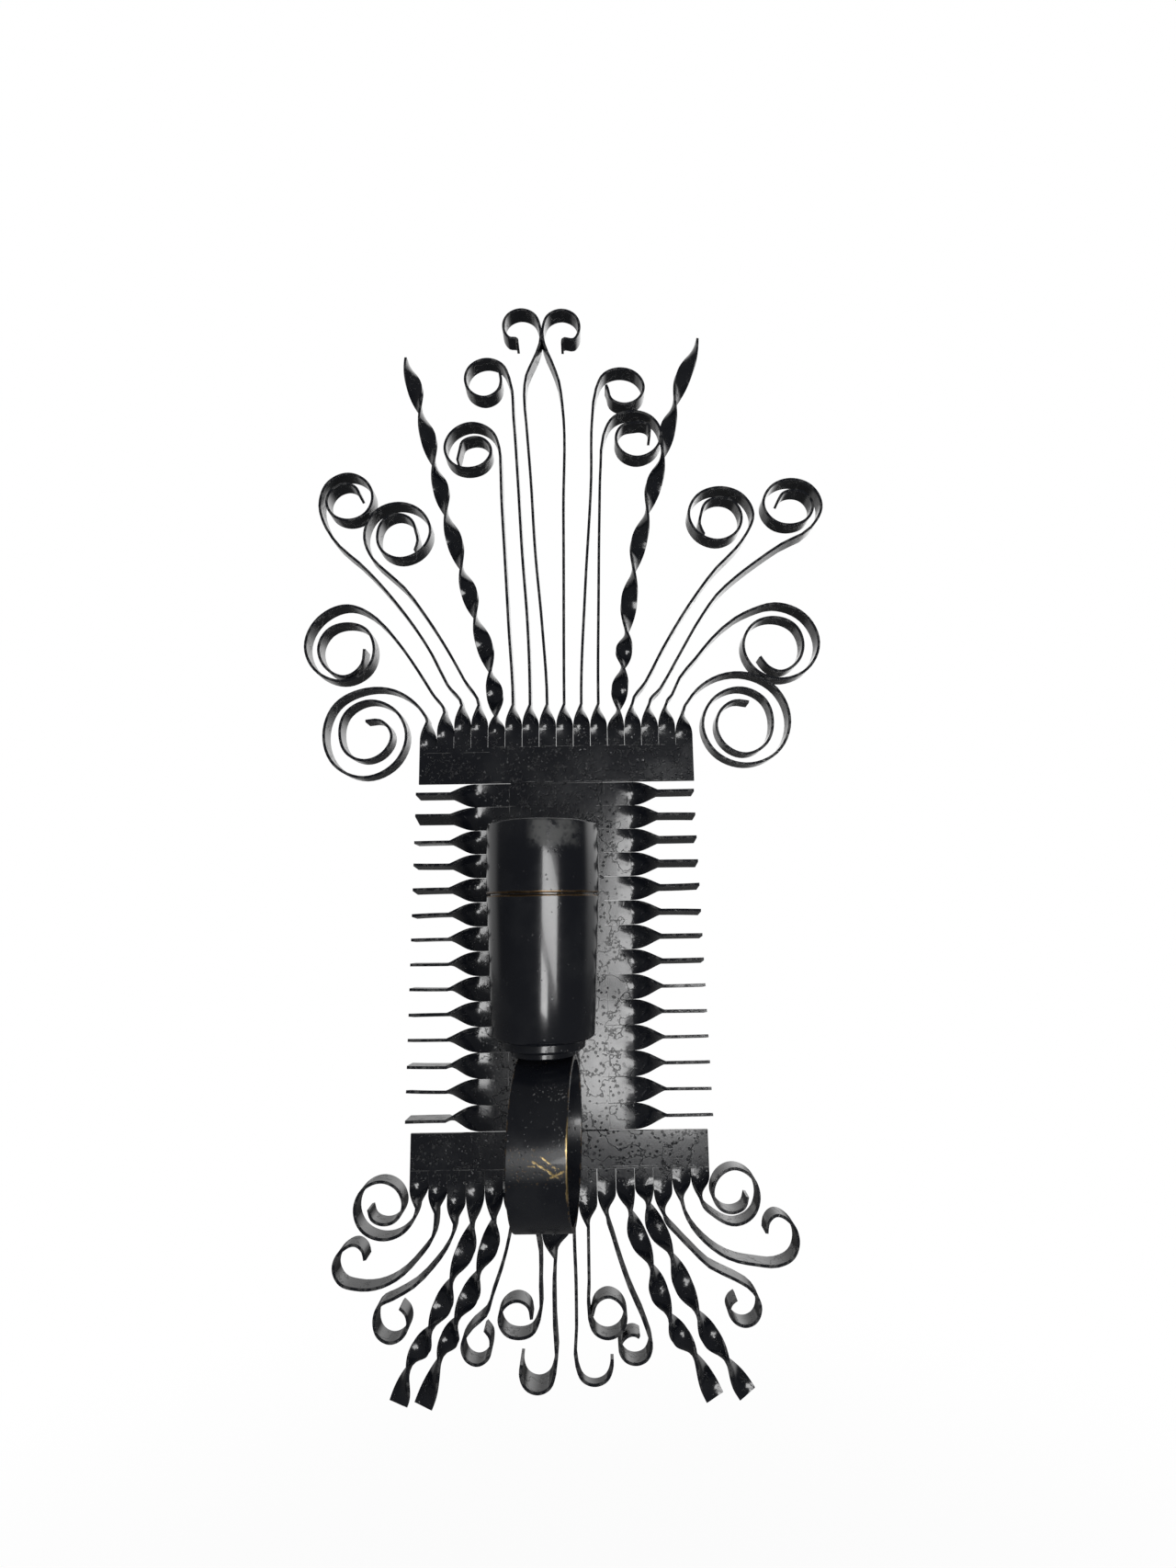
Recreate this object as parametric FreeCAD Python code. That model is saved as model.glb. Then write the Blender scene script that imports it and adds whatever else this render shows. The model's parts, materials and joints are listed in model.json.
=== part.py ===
import FreeCAD, Part
import math
import os
from FreeCAD import Vector

# Wall sconce cut and curled out of sheet steel, with a screw lampholder on a hoop.
# Millimetres. +Z up, the front faces -Y, the wall is the plane Y = 0.
# The origin is on the wall, midway between the two wall screw holes.
X = Vector(1, 0, 0)
Y = Vector(0, 1, 0)
Z = Vector(0, 0, 1)

# --- sheets -------------------------------------------------------------------
sheet_t = 1.2             # thickness of all three sheets
strip_pitch = 7.5         # width that one crown or base strip takes of its sheet
saw_gap = 0.3             # width of the cut between two strips
tail_wide = 11.0          # the one wide strip at the middle of the base
tail_left = 7.8           # its left neighbour
tail_right = 3.7          # its right neighbour
crown_slit_z = 16.0       # crown: bottom edge to the end of the cuts
crown_flat_z = 23.4       # crown: bottom edge to where a strip starts to turn
crown_turn_h = 11.0       # height in which a crown strip turns on edge
base_slit_z = 14.2        # base: top edge to the end of the cuts
base_flat_z = 25.7        # base: top edge to where a strip starts to turn
base_turn_h = 8.8         # height in which a base strip turns on edge
crown_bar_flat = 22.6     # crown: bottom edge to the start of a twisted bar
base_bar_flat = 20.5      # base: top edge to the start of a twisted bar
crown_bar_end = 180       # turn of a crown bar between its last edge-on place and its tip
base_bar_end = 90         # the same for a base bar

# --- spine --------------------------------------------------------------------
finger_pitch = 10.2       # height that one side finger takes of the spine
finger_count = 14         # side fingers on each side
finger_slit_x = 20.0      # centre line to the end of the side cuts
finger_flat_right = 30.5  # centre line to where a finger on the right starts to turn
finger_flat_left = 32.5   # the same on the left
finger_turn_l = 13.0      # length in which a finger turns on edge
finger_reach = 60.0       # centre line to a finger's tip
spine_tab_h = 14.0        # tab that goes behind the crown and behind the base

# --- wall strap and its fasteners --------------------------------------------
strap_w = 20.0
strap_h = 116.0
strap_t = 2.5
strap_corner_r = 4.0
wall_hole_r = 2.3
wall_hole_span = 96.0     # between the two wall screw holes
fixing_span = 60.0        # between the two screws that carry the spine
standoff = 6.0            # strap to spine
standoff_r = 4.0
m4_r = 2.0
m4_head_r = 3.9
m4_head_h = 2.5
m4_hole_clear = 0.15
screw_short = 0.4         # a screw's end stays this far from the wall
screw_past_nut = 0.6
earth_washer_r = 4.5
earth_washer_t = 1.0
thread_clear = 0.05       # between a plain thread and its hole

# --- hoop ---------------------------------------------------------------------
hoop_r = 29.5             # outer radius
hoop_t = 2.0
hoop_w = 20.5
hoop_drop = 66.0          # below the middle of the spine
hoop_back_x = -1.0        # where its back stands, from the centre line
hoop_skew = 4.2           # its front stands this far to the left of its back
packing_t = 1.5           # packing between the hoop and the spine
packing_h = 9.0
hoop_screw_x = -0.8       # the screw through its back, from the centre line
m4_nut_r = 4.04
m4_nut_h = 3.2
m3_r = 1.5
lead_x = -7.9             # the lead's hole beside that screw
lead_hole_r = 2.6
lead_bore_r = 2.0
grommet_lip_r = 3.1
grommet_lip_h = 0.8

# --- lampholder ---------------------------------------------------------------
holder_x = -4.2           # the holder's axis, from the centre line
nipple_r = 5.0
nipple_bore_r = 3.6
nipple_clear = 0.05
nipple_spare = 1.5        # nipple below its nut
nipple_grip = 8.0         # nipple inside the cup
nipple_washer_r = 8.0
nipple_washer_t = 1.0
nipple_nut_r = 8.0
nipple_nut_h = 3.0
bush_bore_r = 2.5
bush_lip_h = 1.0
bush_length = 5.0
bush_clear = 0.1
collar_r = 12.0
collar_h = 3.0
neck_r = 15.6
neck_h = 3.5
neck_edge = 0.5
cup_foot_r = 17.8         # radius of the cup's flat foot
cup_low_r = 19.2          # radius at the top of the foot's round
cup_low_h = 2.6
cup_mid_r = 20.6
cup_mid_h = 30.6
cup_top_r = 21.65
cup_h = 52.3              # foot to seam
cup_t = 1.2
cup_floor_t = 1.6
cup_boss_r = 8.0
cup_boss_h = 9.0
cup_neck_h = 6.0          # threaded neck above the seam
seam_gap = 0.7            # bare neck that shows at the seam
sleeve_r = 21.75
sleeve_t = 1.2
sleeve_h = 27.0
sleeve_lip_t = 1.4
sleeve_mouth_r = 17.2
sleeve_clear = 0.3        # neck to sleeve
sleeve_round = 0.8        # round of its rim
sleeve_edge = 0.3         # bevel of its lower edge
# inside the holder, heights from the cup's foot
ceramic_low = 42.0
ceramic_floor = 50.0
ceramic_r = 18.5
ceramic_bore_r = 14.3
ceramic_flange_r = 19.9
ceramic_flange_h = 3.0
shell_mid_r = 13.4
shell_wave = 0.45
shell_t = 0.4
shell_pitch = 3.63
shell_turns = 6
shell_foot_h = 2.2
shell_foot_bore_r = 10.0
ring_bore_r = 14.8
ring_clear = 0.35
ring_gap = 0.3
ring_edge = 0.6
contact_t = 0.5
contact_w = 5.0
contact_hinge_x = 4.8
contact_gap = 0.1
contact_foot_l = 4.4
contact_rise = 3.0
contact_top_x = 1.5
contact_tip_x = -2.5
contact_screw_x = 7.1
shell_screw_x = -11.7
m2_r = 1.1
m2_head_r = 1.4
m2_head_h = 1.0
m2_reach = 2.5            # of the ceramic's screws into their terminals
terminal_head_r = 1.8
terminal_w = 6.0
terminal_h = 8.0
terminal_wire_r = 1.25
terminal_screw_l = 4.0
slot_w = 0.8
slot_d = 0.7

# --- places that follow from the sizes ---------------------------------------
spine_back_y = -(strap_t + standoff)
spine_y = spine_back_y - sheet_t / 2.0
spine_front_y = spine_back_y - sheet_t
leaf_y = spine_front_y - sheet_t / 2.0
crown_z = finger_count * finger_pitch / 2.0
base_z = -crown_z
hoop_back_y = spine_front_y - packing_t
hoop_y = hoop_back_y - hoop_r
hoop_z = -hoop_drop
hoop_top_z = hoop_z + hoop_r
foot_z = hoop_top_z + collar_h + neck_h
seam_z = foot_z + cup_h
neck_top_z = seam_z + cup_neck_h
sleeve_low_z = seam_z + seam_gap
rim_z = sleeve_low_z + sleeve_h
floor_z = foot_z + ceramic_floor
axis_point = Vector(holder_x, hoop_y, 0)


class Strip:
    """One strip's stem and scroll, measured from the point where its quarter turn ends."""

    def __init__(self, number, stem, eye, turn, start, radii, tail, extra=(), flat=None):
        self.number = number      # counted from the left
        self.stem = stem          # points (across, along) that the stem passes
        self.eye = eye            # centre of the scroll
        self.turn = turn          # 1 anticlockwise from the front, -1 clockwise
        self.start = start        # direction in which the scroll starts, degrees
        self.radii = radii        # radius at each quarter turn
        self.tail = tail          # last part: degrees and the radius at the end
        self.extra = list(extra)  # bent end after the scroll
        self.flat = flat          # own height at which it starts to turn


crown_strips = [
    Strip(1, [(-2.0, 4.2), (-7.5, 10.2), (-14.5, 14.2)], (-27.0, -5.3), 1, 90,
          [20.5, 18.0, 19.0, 18.0, 15.0, 11.0, 11.5, 11.5, 6.0], (0, 0.0), flat=16.3),
    Strip(2, [(-5.5, 8.7), (-12.0, 19.2), (-22.5, 34.2), (-31.0, 43.7), (-37.5, 48.2)], (-44.0, 31.2),
          1, 90, [19.0, 18.5, 16.0, 12.0, 10.5, 12.5, 14.0], (79, 8.0), flat=20.3),
    Strip(3, [(-6.5, 9.6), (-13.5, 23.6), (-30.5, 48.6), (-47.5, 67.6), (-56.5, 75.6), (-63.0, 84.6)],
          (-54.0, 98.6), -1, 180, [12.5, 13.0, 11.5, 10.0, 9.5, 8.0], (68, 6.0)),
    Strip(4, [(-6.5, 11.6), (-13.0, 23.6), (-25.5, 43.6), (-34.0, 55.1), (-42.5, 63.1), (-49.0, 69.6)],
          (-38.0, 82.1), -1, 180, [15.0, 14.5, 15.0, 12.5, 9.0, 9.0, 8.5], (47, 12.0)),
    Strip(6, [(-2.0, 36.1), (-4.0, 72.1), (-5.5, 99.1), (-6.0, 115.1)], (-20.0, 123.1), 1, 0,
          [13.5, 13.5, 12.0, 9.5, 9.5, 6.0, 5.0], (41, 8.0)),
    Strip(7, [(-1.0, 36.1), (-3.5, 71.6), (-5.5, 108.1), (-7.5, 139.1)], (-21.0, 159.6), 1, 0,
          [11.5, 10.5, 9.5, 9.5, 7.5], (34, 8.0)),
    Strip(8, [(-2.0, 36.1), (-5.0, 71.6), (-7.0, 108.1), (-9.0, 136.1), (-10.0, 150.6), (-9.0, 161.1),
          (-6.0, 168.6), (-2.5, 178.1)], (-12.0, 187.6), 1, 0, [9.5, 9.0, 8.0], (50, 8.0),
          extra=[(-13.5, 180.6), (-13.0, 176.6)]),
    Strip(9, [(0.5, 91.1), (0.5, 145.6), (-1.0, 157.6), (-4.5, 168.6), (-8.0, 178.1)], (0.5, 187.1), -1,
          180, [9.0, 9.0, 8.5], (50, 9.0), extra=[(1.0, 180.1), (0.5, 176.1)]),
    Strip(10, [(2.5, 53.6), (6.0, 107.6), (7.0, 139.1)], (21.0, 153.6), -1, 180,
          [12.0, 10.5, 10.5, 8.0, 6.5], (16, 7.5)),
    Strip(11, [(1.0, 51.1), (2.0, 89.1), (3.0, 114.1)], (19.0, 129.1), -1, 180,
          [14.5, 12.5, 12.5, 11.0, 8.5, 6.5], (52, 8.5), extra=[(26.0, 128.6)]),
    Strip(13, [(6.0, 9.6), (14.5, 25.6), (31.0, 51.6), (39.5, 62.6), (48.5, 71.6), (54.0, 79.1)],
          (42.0, 88.6), 1, 0, [15.5, 13.5, 14.0, 12.5, 10.0, 8.5, 8.5], (52, 12.0)),
    Strip(14, [(5.0, 6.6), (12.0, 18.6), (25.0, 40.6), (31.5, 49.6), (40.0, 57.6), (49.0, 64.6),
          (62.0, 73.6), (76.0, 81.6)], (68.0, 93.1), 1, 0, [13.5, 12.5, 13.0, 10.0, 9.5, 7.0],
          (72, 6.5)),
    Strip(15, [(2.5, 3.6), (6.0, 11.1), (13.5, 20.1), (21.0, 29.1), (32.0, 38.6), (40.0, 42.6)],
          (50.0, 26.6), -1, 90, [18.5, 18.5, 16.5, 15.0, 12.0, 11.5, 13.0], (52, 10.0)),
    Strip(16, [(2.0, 3.7), (6.0, 8.7), (13.0, 13.7)], (26.0, -6.3), -1, 90,
          [22.5, 20.0, 18.5, 18.0, 15.5, 12.5, 14.0, 12.0], (106, 9.5), flat=20.3),
]

base_strips = [
    Strip(1, [(-1.0, -3.7), (-5.0, -8.7)], (-14.0, 0.3), -1, 270, [11.5, 10.5, 9.5, 8.5, 6.0],
          (83, 5.0), flat=18.0),
    Strip(2, [(-1.0, -8.7), (-6.5, -16.2), (-15.0, -23.7), (-23.0, -26.7)], (-31.0, -19.2), -1, 270,
          [7.5, 8.5, 8.0], (55, 4.5), flat=20.0),
    Strip(3, [(-3.0, -8.7), (-8.0, -15.2), (-15.5, -22.2), (-23.0, -26.2), (-29.0, -29.2)],
          (-24.0, -34.7), 1, 180, [6.5, 7.0, 6.5], (57, 6.0), flat=24.0),
    Strip(6, [(-1.0, -6.7), (-4.0, -18.2), (-7.5, -27.7), (-10.0, -34.7), (-15.0, -38.7)],
          (-13.0, -45.7), 1, 180, [6.0, 6.0, 5.0], (66, 6.5), flat=22.0),
    Strip(7, [(2.5, -6.2), (3.5, -24.7)], (-5.0, -36.2), -1, 0, [8.0, 6.5, 7.5, 6.5, 5.0], (0, 0.0),
          flat=22.0),
    Strip(8, [(-0.5, -6.7), (-0.5, -23.7)], (-7.0, -40.2), -1, 0, [6.5, 6.5, 6.5], (28, 7.0),
          flat=36.0),
    Strip(9, [(0.0, -4.0), (0.5, -21.0), (0.5, -37.0)], (7.5, -50.0), 1, 180, [7.0, 6.5, 6.5],
          (20, 7.0)),
    Strip(10, [(0.0, -7.0), (0.0, -21.5)], (7.0, -32.5), 1, 180, [7.0, 7.0, 7.0, 7.5], (81, 6.0)),
    Strip(11, [(2.0, -7.2), (8.0, -25.2), (14.5, -40.2)], (10.0, -46.7), -1, 0, [6.0, 5.5, 6.0, 4.5],
          (23, 4.0), flat=22.0),
    Strip(14, [(5.5, -7.7), (10.0, -12.2), (17.0, -18.7), (26.5, -23.2), (33.5, -27.7)], (30.0, -33.7),
          -1, 0, [6.0, 6.0, 6.0], (48, 4.5), flat=22.0),
    Strip(15, [(1.5, -5.2), (8.0, -13.7), (17.0, -19.7), (28.0, -22.2)], (36.0, -13.7), 1, 270,
          [9.0, 8.5, 9.0], (54, 4.5), flat=18.0),
    Strip(16, [(5.0, -5.7)], (13.0, 1.8), 1, 270, [10.5, 9.5, 10.0, 8.5, 6.0], (85, 5.0), flat=17.0),
]

# twisted bars: number, hand, the places where the bar stands edge-on and its tip, from the twist's start
crown_bars = [
    (5, 1, [(0.0, 7.0), (-2.5, 27.5), (-9.5, 53.5), (-16.0, 77.0), (-23.5, 104.0), (-29.5, 129.0),
            (-36.5, 156.5), (-44.0, 183.5)]),
    (12, -1, [(1.0, 9.5), (3.5, 29.0), (5.5, 45.0), (9.5, 75.0), (16.5, 104.5), (24.5, 132.5),
              (31.0, 159.5), (43.0, 191.5)]),
]
base_bars = [
    (4, 1, [(-0.5, -13.0), (-8.5, -34.0), (-16.5, -51.5), (-24.5, -64.5), (-28.5, -76.5)]),
    (5, 1, [(0.5, -11.5), (-5.5, -31.5), (-14.0, -48.5), (-20.0, -61.5), (-26.5, -77.5)]),
    (12, -1, [(1.5, -10.0), (9.5, -30.5), (16.0, -48.5), (25.5, -62.5), (32.5, -76.0)]),
    (13, -1, [(1.0, -7.0), (10.0, -26.5), (19.5, -47.5), (30.5, -64.5), (37.5, -75.0)]),
]


# --- small helpers ------------------------------------------------------------
def cylinder(r, h, at, axis=Z):
    return Part.makeCylinder(r, h, at, axis)


def tube(r, bore, h, at, axis=Z):
    return cylinder(r, h, at, axis).cut(cylinder(bore, h, at, axis))


def box(x0, x1, y0, y1, z0, z1):
    return Part.makeBox(x1 - x0, y1 - y0, z1 - z0, Vector(x0, y0, z0))


def extruded(points, along):
    return Part.Face(Part.makePolygon(points + [points[0]])).extrude(along)


def turned(profile, centre=axis_point):
    """Solid turned about a vertical axis from (radius, height) points."""
    points = [centre + Vector(r, 0, z) for r, z in profile]
    face = Part.Face(Part.makePolygon(points + [points[0]]))
    return face.revolve(centre, Z, 360)


def hexagon(r, h, at, axis):
    side = X if abs(axis.z) > 0.5 else Z
    other = axis.cross(side)
    points = []
    for k in range(6):
        a = math.radians(60 * k)
        points.append(at + side * (r * math.cos(a)) + other * (r * math.sin(a)))
    return extruded(points, axis * h)


def screw(r, length, head_r, head_h, at, axis):
    """Pan head screw; at is under the head and axis points down the shank."""
    low = head_h * 0.35
    dome = [(0, head_h), (head_r * 0.55, head_h), (head_r * 0.85, head_h * 0.8), (head_r, low),
            (head_r, 0), (r, 0), (r, -length + r * 0.3), (r * 0.7, -length), (0, -length)]
    body = turned(dome, Vector(0, 0, 0))
    body = body.cut(box(-head_r, head_r, -slot_w / 2, slot_w / 2, head_h - slot_d, head_h + 1))
    body.Placement = FreeCAD.Placement(at, FreeCAD.Rotation(Vector(0, 0, -1), axis))
    return body


def group(shapes):
    return Part.makeCompound(shapes)


def save(name, shape):
    if shape.ShapeType == "Compound" and len(shape.Solids) == 1:
        shape = shape.Solids[0]
    shape.exportStep("parts/" + name + ".step")
    print(name, len(shape.Solids), "solid(s)", round(shape.Volume, 1), "mm3", shape.isValid())


# --- strips -------------------------------------------------------------------
def widths(count, own):
    return [own.get(k + 1, strip_pitch) for k in range(count)]


def centres(wide):
    out = []
    x = -sum(wide) / 2.0
    for w in wide:
        out.append(x + w / 2.0)
        x += w
    return out


def smooth(points, first, cuts=0, most=2.5):
    """Points and directions along a smooth curve, cuts to a span or none longer than most."""
    count = len(points)
    chord = [points[i + 1].sub(points[i]).Length for i in range(count - 1)]
    slope = [first]
    for i in range(1, count - 1):
        before = (points[i] - points[i - 1]) * (1 / chord[i - 1])
        after = (points[i + 1] - points[i]) * (1 / chord[i])
        slope.append((before * chord[i] + after * chord[i - 1]).normalize())
    slope.append((points[-1] - points[-2]).normalize())
    out = [(points[0], first)]
    for i in range(count - 1):
        steps = cuts or max(2, int(math.ceil(chord[i] / most)))
        m1 = slope[i] * chord[i]
        m2 = slope[i + 1] * chord[i]
        for k in range(1, steps + 1):
            t = k / float(steps)
            at = (points[i] * (2 * t ** 3 - 3 * t ** 2 + 1) + m1 * (t ** 3 - 2 * t ** 2 + t)
                  + points[i + 1] * (3 * t ** 2 - 2 * t ** 3) + m2 * (t ** 3 - t ** 2))
            way = (points[i] * (6 * t ** 2 - 6 * t) + m1 * (3 * t ** 2 - 4 * t + 1)
                   + points[i + 1] * (6 * t - 6 * t ** 2) + m2 * (3 * t ** 2 - 2 * t))
            out.append((at, way.normalize()))
    return out


def scroll_points(s):
    """Eighth-turn points of a strip's scroll, from the start of its stem."""
    out = []
    for k in range(len(s.radii)):
        r = s.radii[k]
        a = math.radians(s.start + s.turn * 90 * k)
        out.append((s.eye[0] + r * math.cos(a), s.eye[1] + r * math.sin(a)))
        nxt = s.radii[k + 1] if k + 1 < len(s.radii) else None
        if nxt is not None:
            r = (r + nxt) / 2.0
            a = math.radians(s.start + s.turn * (90 * k + 45))
            out.append((s.eye[0] + r * math.cos(a), s.eye[1] + r * math.sin(a)))
    angle, r_end = s.tail
    steps = int(math.ceil(angle / 45.0))
    for k in range(1, steps + 1):
        f = k / float(steps)
        r = s.radii[-1] + (r_end - s.radii[-1]) * f
        a = math.radians(s.start + s.turn * (90 * (len(s.radii) - 1) + angle * f))
        out.append((s.eye[0] + r * math.cos(a), s.eye[1] + r * math.sin(a)))
    return out + s.extra


def ribbon(line, t, y, w):
    """A strip on edge: a line in the XZ plane, t thick, w deep about y."""
    left = []
    right = []
    for at, way in line:
        n = Vector(-way.z, 0, way.x) * (t / 2.0)
        left.append(Vector(at.x, 0, at.z) + n)
        right.append(Vector(at.x, 0, at.z) - n)
    a = Part.BSplineCurve()
    a.interpolate(left)
    b = Part.BSplineCurve()
    b.interpolate(right)
    edges = [a.toShape(), Part.makeLine(left[-1], right[-1]), b.toShape(),
             Part.makeLine(right[0], left[0])]
    face = Part.Face(Part.Wire(Part.__sortEdges__(edges)))
    face.translate(Vector(0, y - w / 2.0, 0))
    return face.extrude(Vector(0, w, 0))


def section(at, across, t, w, angle):
    """Rectangle w wide and t thick, turned by angle from flat to on edge."""
    wide = across * math.cos(angle) + Y * math.sin(angle)
    thin = Y * math.cos(angle) - across * math.sin(angle)
    p = [at + wide * (w / 2) + thin * (t / 2), at - wide * (w / 2) + thin * (t / 2),
         at - wide * (w / 2) - thin * (t / 2), at + wide * (w / 2) - thin * (t / 2)]
    return Part.makePolygon(p + [p[0]])


def quarter_turn(at, along, across, length, t, w, steps=6):
    wires = []
    for k in range(steps + 1):
        f = k / float(steps)
        wires.append(section(at + along * (length * f), across, t, w, math.pi / 2 * f))
    return Part.makeLoft(wires, True, True)


def twisted(points, first, t, w, hand, end, cuts=8):
    """A bar turned about its length: flat where it starts, then half a turn from point to point."""
    wires = []
    line = smooth(points, first, cuts)
    spans = len(points) - 1
    for k, (at, d) in enumerate(line):
        span = min(k // cuts, spans - 1)
        f = (k - span * cuts) / float(cuts)
        begun = 180 * span - 90 if span else 0
        more = 90 if span == 0 else end if span == spans - 1 else 180
        across = Y.cross(d) if d.z > 0 else d.cross(Y)
        wires.append(section(at, across, t, w, hand * math.radians(begun + more * f)))
    return Part.makeLoft(wires, True, True)


def leaf(strips, bars, wide, edge_z, up, slit, flat, turn_h, bar_flat, bar_end):
    """Crown or base: a comb of sheet with its strips turned on edge and curled."""
    mid = centres(wide)
    half = sum(wide) / 2.0 - saw_gap / 2.0
    tops = {}
    for s in strips:
        tops[s.number] = s.flat if s.flat else flat
    for number, hand, places in bars:
        tops[number] = bar_flat
    outline = [Vector(half, 0, edge_z), Vector(-half, 0, edge_z)]
    for k in range(len(wide)):
        x0 = mid[k] - wide[k] / 2.0 + saw_gap / 2.0
        x1 = mid[k] + wide[k] / 2.0 - saw_gap / 2.0
        if k > 0:
            outline.append(Vector(x0, 0, edge_z + up * slit))
        outline.append(Vector(x0, 0, edge_z + up * tops[k + 1]))
        outline.append(Vector(x1, 0, edge_z + up * tops[k + 1]))
        if k < len(wide) - 1:
            outline.append(Vector(x1, 0, edge_z + up * slit))
    outline = [p + Vector(0, leaf_y - sheet_t / 2, 0) for p in outline]
    pieces = [extruded(outline, Vector(0, sheet_t, 0))]
    for s in strips:
        w = wide[s.number - 1] - saw_gap
        root = Vector(mid[s.number - 1], leaf_y, edge_z)
        low = root + Z * (up * tops[s.number])
        pieces.append(quarter_turn(low, Z * up, X, turn_h, sheet_t, w))
        start = low + Z * (up * turn_h)
        points = [start] + [start + Vector(a, 0, b) for a, b in s.stem + scroll_points(s)]
        pieces.append(ribbon(smooth(points, Z * up), sheet_t, leaf_y, w))
    for number, hand, places in bars:
        w = wide[number - 1] - saw_gap
        root = Vector(mid[number - 1], leaf_y, edge_z)
        low = root + Z * (up * tops[number])
        points = [low] + [low + Vector(a, 0, b) for a, b in places]
        pieces.append(twisted(points, Z * up, sheet_t, w, hand, bar_end))
    return pieces[0].fuse(pieces[1:])


def spine_sheet():
    w = finger_pitch - saw_gap
    tab = crown_z + spine_tab_h
    flat = {1: finger_flat_right, -1: finger_flat_left}
    outline = []
    for side in (1, -1):
        outline.append(Vector(side * finger_slit_x, 0, side * -tab))
        for k in range(finger_count):
            z0 = side * (-crown_z + k * finger_pitch + saw_gap / 2)
            z1 = side * (-crown_z + (k + 1) * finger_pitch - saw_gap / 2)
            for z in (z0, z1):
                slit = Vector(side * finger_slit_x, 0, z)
                tip = Vector(side * flat[side], 0, z)
                outline.extend([slit, tip] if z == z0 else [tip, slit])
        outline.append(Vector(side * finger_slit_x, 0, side * tab))
    outline = [p + Vector(0, spine_y - sheet_t / 2, 0) for p in outline]
    pieces = [extruded(outline, Vector(0, sheet_t, 0))]
    for side in (1, -1):
        for k in range(finger_count):
            z = -crown_z + (k + 0.5) * finger_pitch
            at = Vector(side * flat[side], spine_y, z)
            pieces.append(quarter_turn(at, X * side, Z, finger_turn_l, sheet_t, w))
            x0 = flat[side] + finger_turn_l
            xs = sorted([side * x0, side * finger_reach])
            pieces.append(box(xs[0], xs[1], spine_y - w / 2, spine_y + w / 2,
                              z - sheet_t / 2, z + sheet_t / 2))
    sheet = pieces[0].fuse(pieces[1:])
    for z in (fixing_span / 2, -fixing_span / 2):
        sheet = sheet.cut(cylinder(m4_r + m4_hole_clear, sheet_t, Vector(0, spine_front_y, z), Y))
    sheet = sheet.cut(back_holes(m4_hole_clear))
    return sheet


def back_holes(clear):
    """Holes for the hoop's screw and for the lead, through the hoop's back."""
    return group([cylinder(m4_r + clear, hoop_r, Vector(hoop_screw_x, -hoop_r, hoop_z), Y),
                  cylinder(lead_hole_r + thread_clear, hoop_r, Vector(lead_x, -hoop_r, hoop_z), Y)])


def hoop_seat_y(r):
    """Inside of the hoop's back for a flat piece of radius r."""
    return hoop_y + math.sqrt((hoop_r - hoop_t) ** 2 - r ** 2)


def hoop_seat_z(r):
    """Inside of the hoop's top for a flat piece of radius r."""
    return hoop_z + math.sqrt((hoop_r - hoop_t) ** 2 - r ** 2)


# --- pieces -------------------------------------------------------------------
def make_hoop():
    start = Vector(-2 * hoop_w, hoop_y, hoop_z)
    ring = tube(hoop_r, hoop_r - hoop_t, 4 * hoop_w, start, X)
    back = hoop_back_y + 1
    front = hoop_back_y - 2 * hoop_r - 1
    lean = hoop_skew / (2 * hoop_r)
    xb = hoop_back_x + lean
    xf = hoop_back_x - hoop_skew - lean
    cut = extruded([Vector(xb - hoop_w / 2, back, hoop_z - 2 * hoop_r),
                    Vector(xb + hoop_w / 2, back, hoop_z - 2 * hoop_r),
                    Vector(xf + hoop_w / 2, front, hoop_z - 2 * hoop_r),
                    Vector(xf - hoop_w / 2, front, hoop_z - 2 * hoop_r)], Z * (4 * hoop_r))
    ring = ring.common(cut)
    ring = ring.cut(back_holes(m4_hole_clear))
    ring = ring.cut(cylinder(nipple_r + nipple_clear, 3 * hoop_t,
                             axis_point + Z * (hoop_top_z - 2 * hoop_t)))
    return ring


def make_packing():
    plate = box(hoop_back_x - hoop_w / 2, hoop_back_x + hoop_w / 2, hoop_back_y, spine_front_y,
                hoop_z - packing_h / 2, hoop_z + packing_h / 2)
    return plate.cut(back_holes(m4_hole_clear))


def make_hoop_screw():
    seat = hoop_seat_y(m4_head_r)
    length = spine_back_y - seat + m4_nut_h + screw_past_nut
    return screw(m4_r, length, m4_head_r, m4_head_h, Vector(hoop_screw_x, seat, hoop_z), Y)


def make_hoop_nut():
    at = Vector(hoop_screw_x, spine_back_y, hoop_z)
    nut = hexagon(m4_nut_r, m4_nut_h, at, Y)
    return nut.cut(cylinder(m4_r + thread_clear, m4_nut_h, at, Y))


def make_grommet():
    seat = hoop_seat_y(grommet_lip_r)
    at = Vector(lead_x, seat, hoop_z)
    length = spine_back_y - seat
    lip = cylinder(grommet_lip_r, grommet_lip_h, at - Y * grommet_lip_h, Y)
    body = lip.fuse(cylinder(lead_hole_r, length, at, Y))
    return body.cut(cylinder(lead_bore_r, length + grommet_lip_h, at - Y * grommet_lip_h, Y))


def make_strap():
    strap = box(-strap_w / 2, strap_w / 2, -strap_t, 0, -strap_h / 2, strap_h / 2)
    corners = [e for e in strap.Edges if e.Length < strap_t + 0.01
               and abs(e.Vertexes[0].Point.x - e.Vertexes[1].Point.x) < 0.01
               and abs(e.Vertexes[0].Point.z - e.Vertexes[1].Point.z) < 0.01]
    strap = strap.makeFillet(strap_corner_r, corners)
    for z in (wall_hole_span / 2, -wall_hole_span / 2):
        strap = strap.cut(cylinder(wall_hole_r, strap_t, Vector(0, -strap_t, z), Y))
    for z in (fixing_span / 2, 0, -fixing_span / 2):
        strap = strap.cut(cylinder(m4_r + thread_clear, strap_t, Vector(0, -strap_t, z), Y))
    return strap


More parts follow.
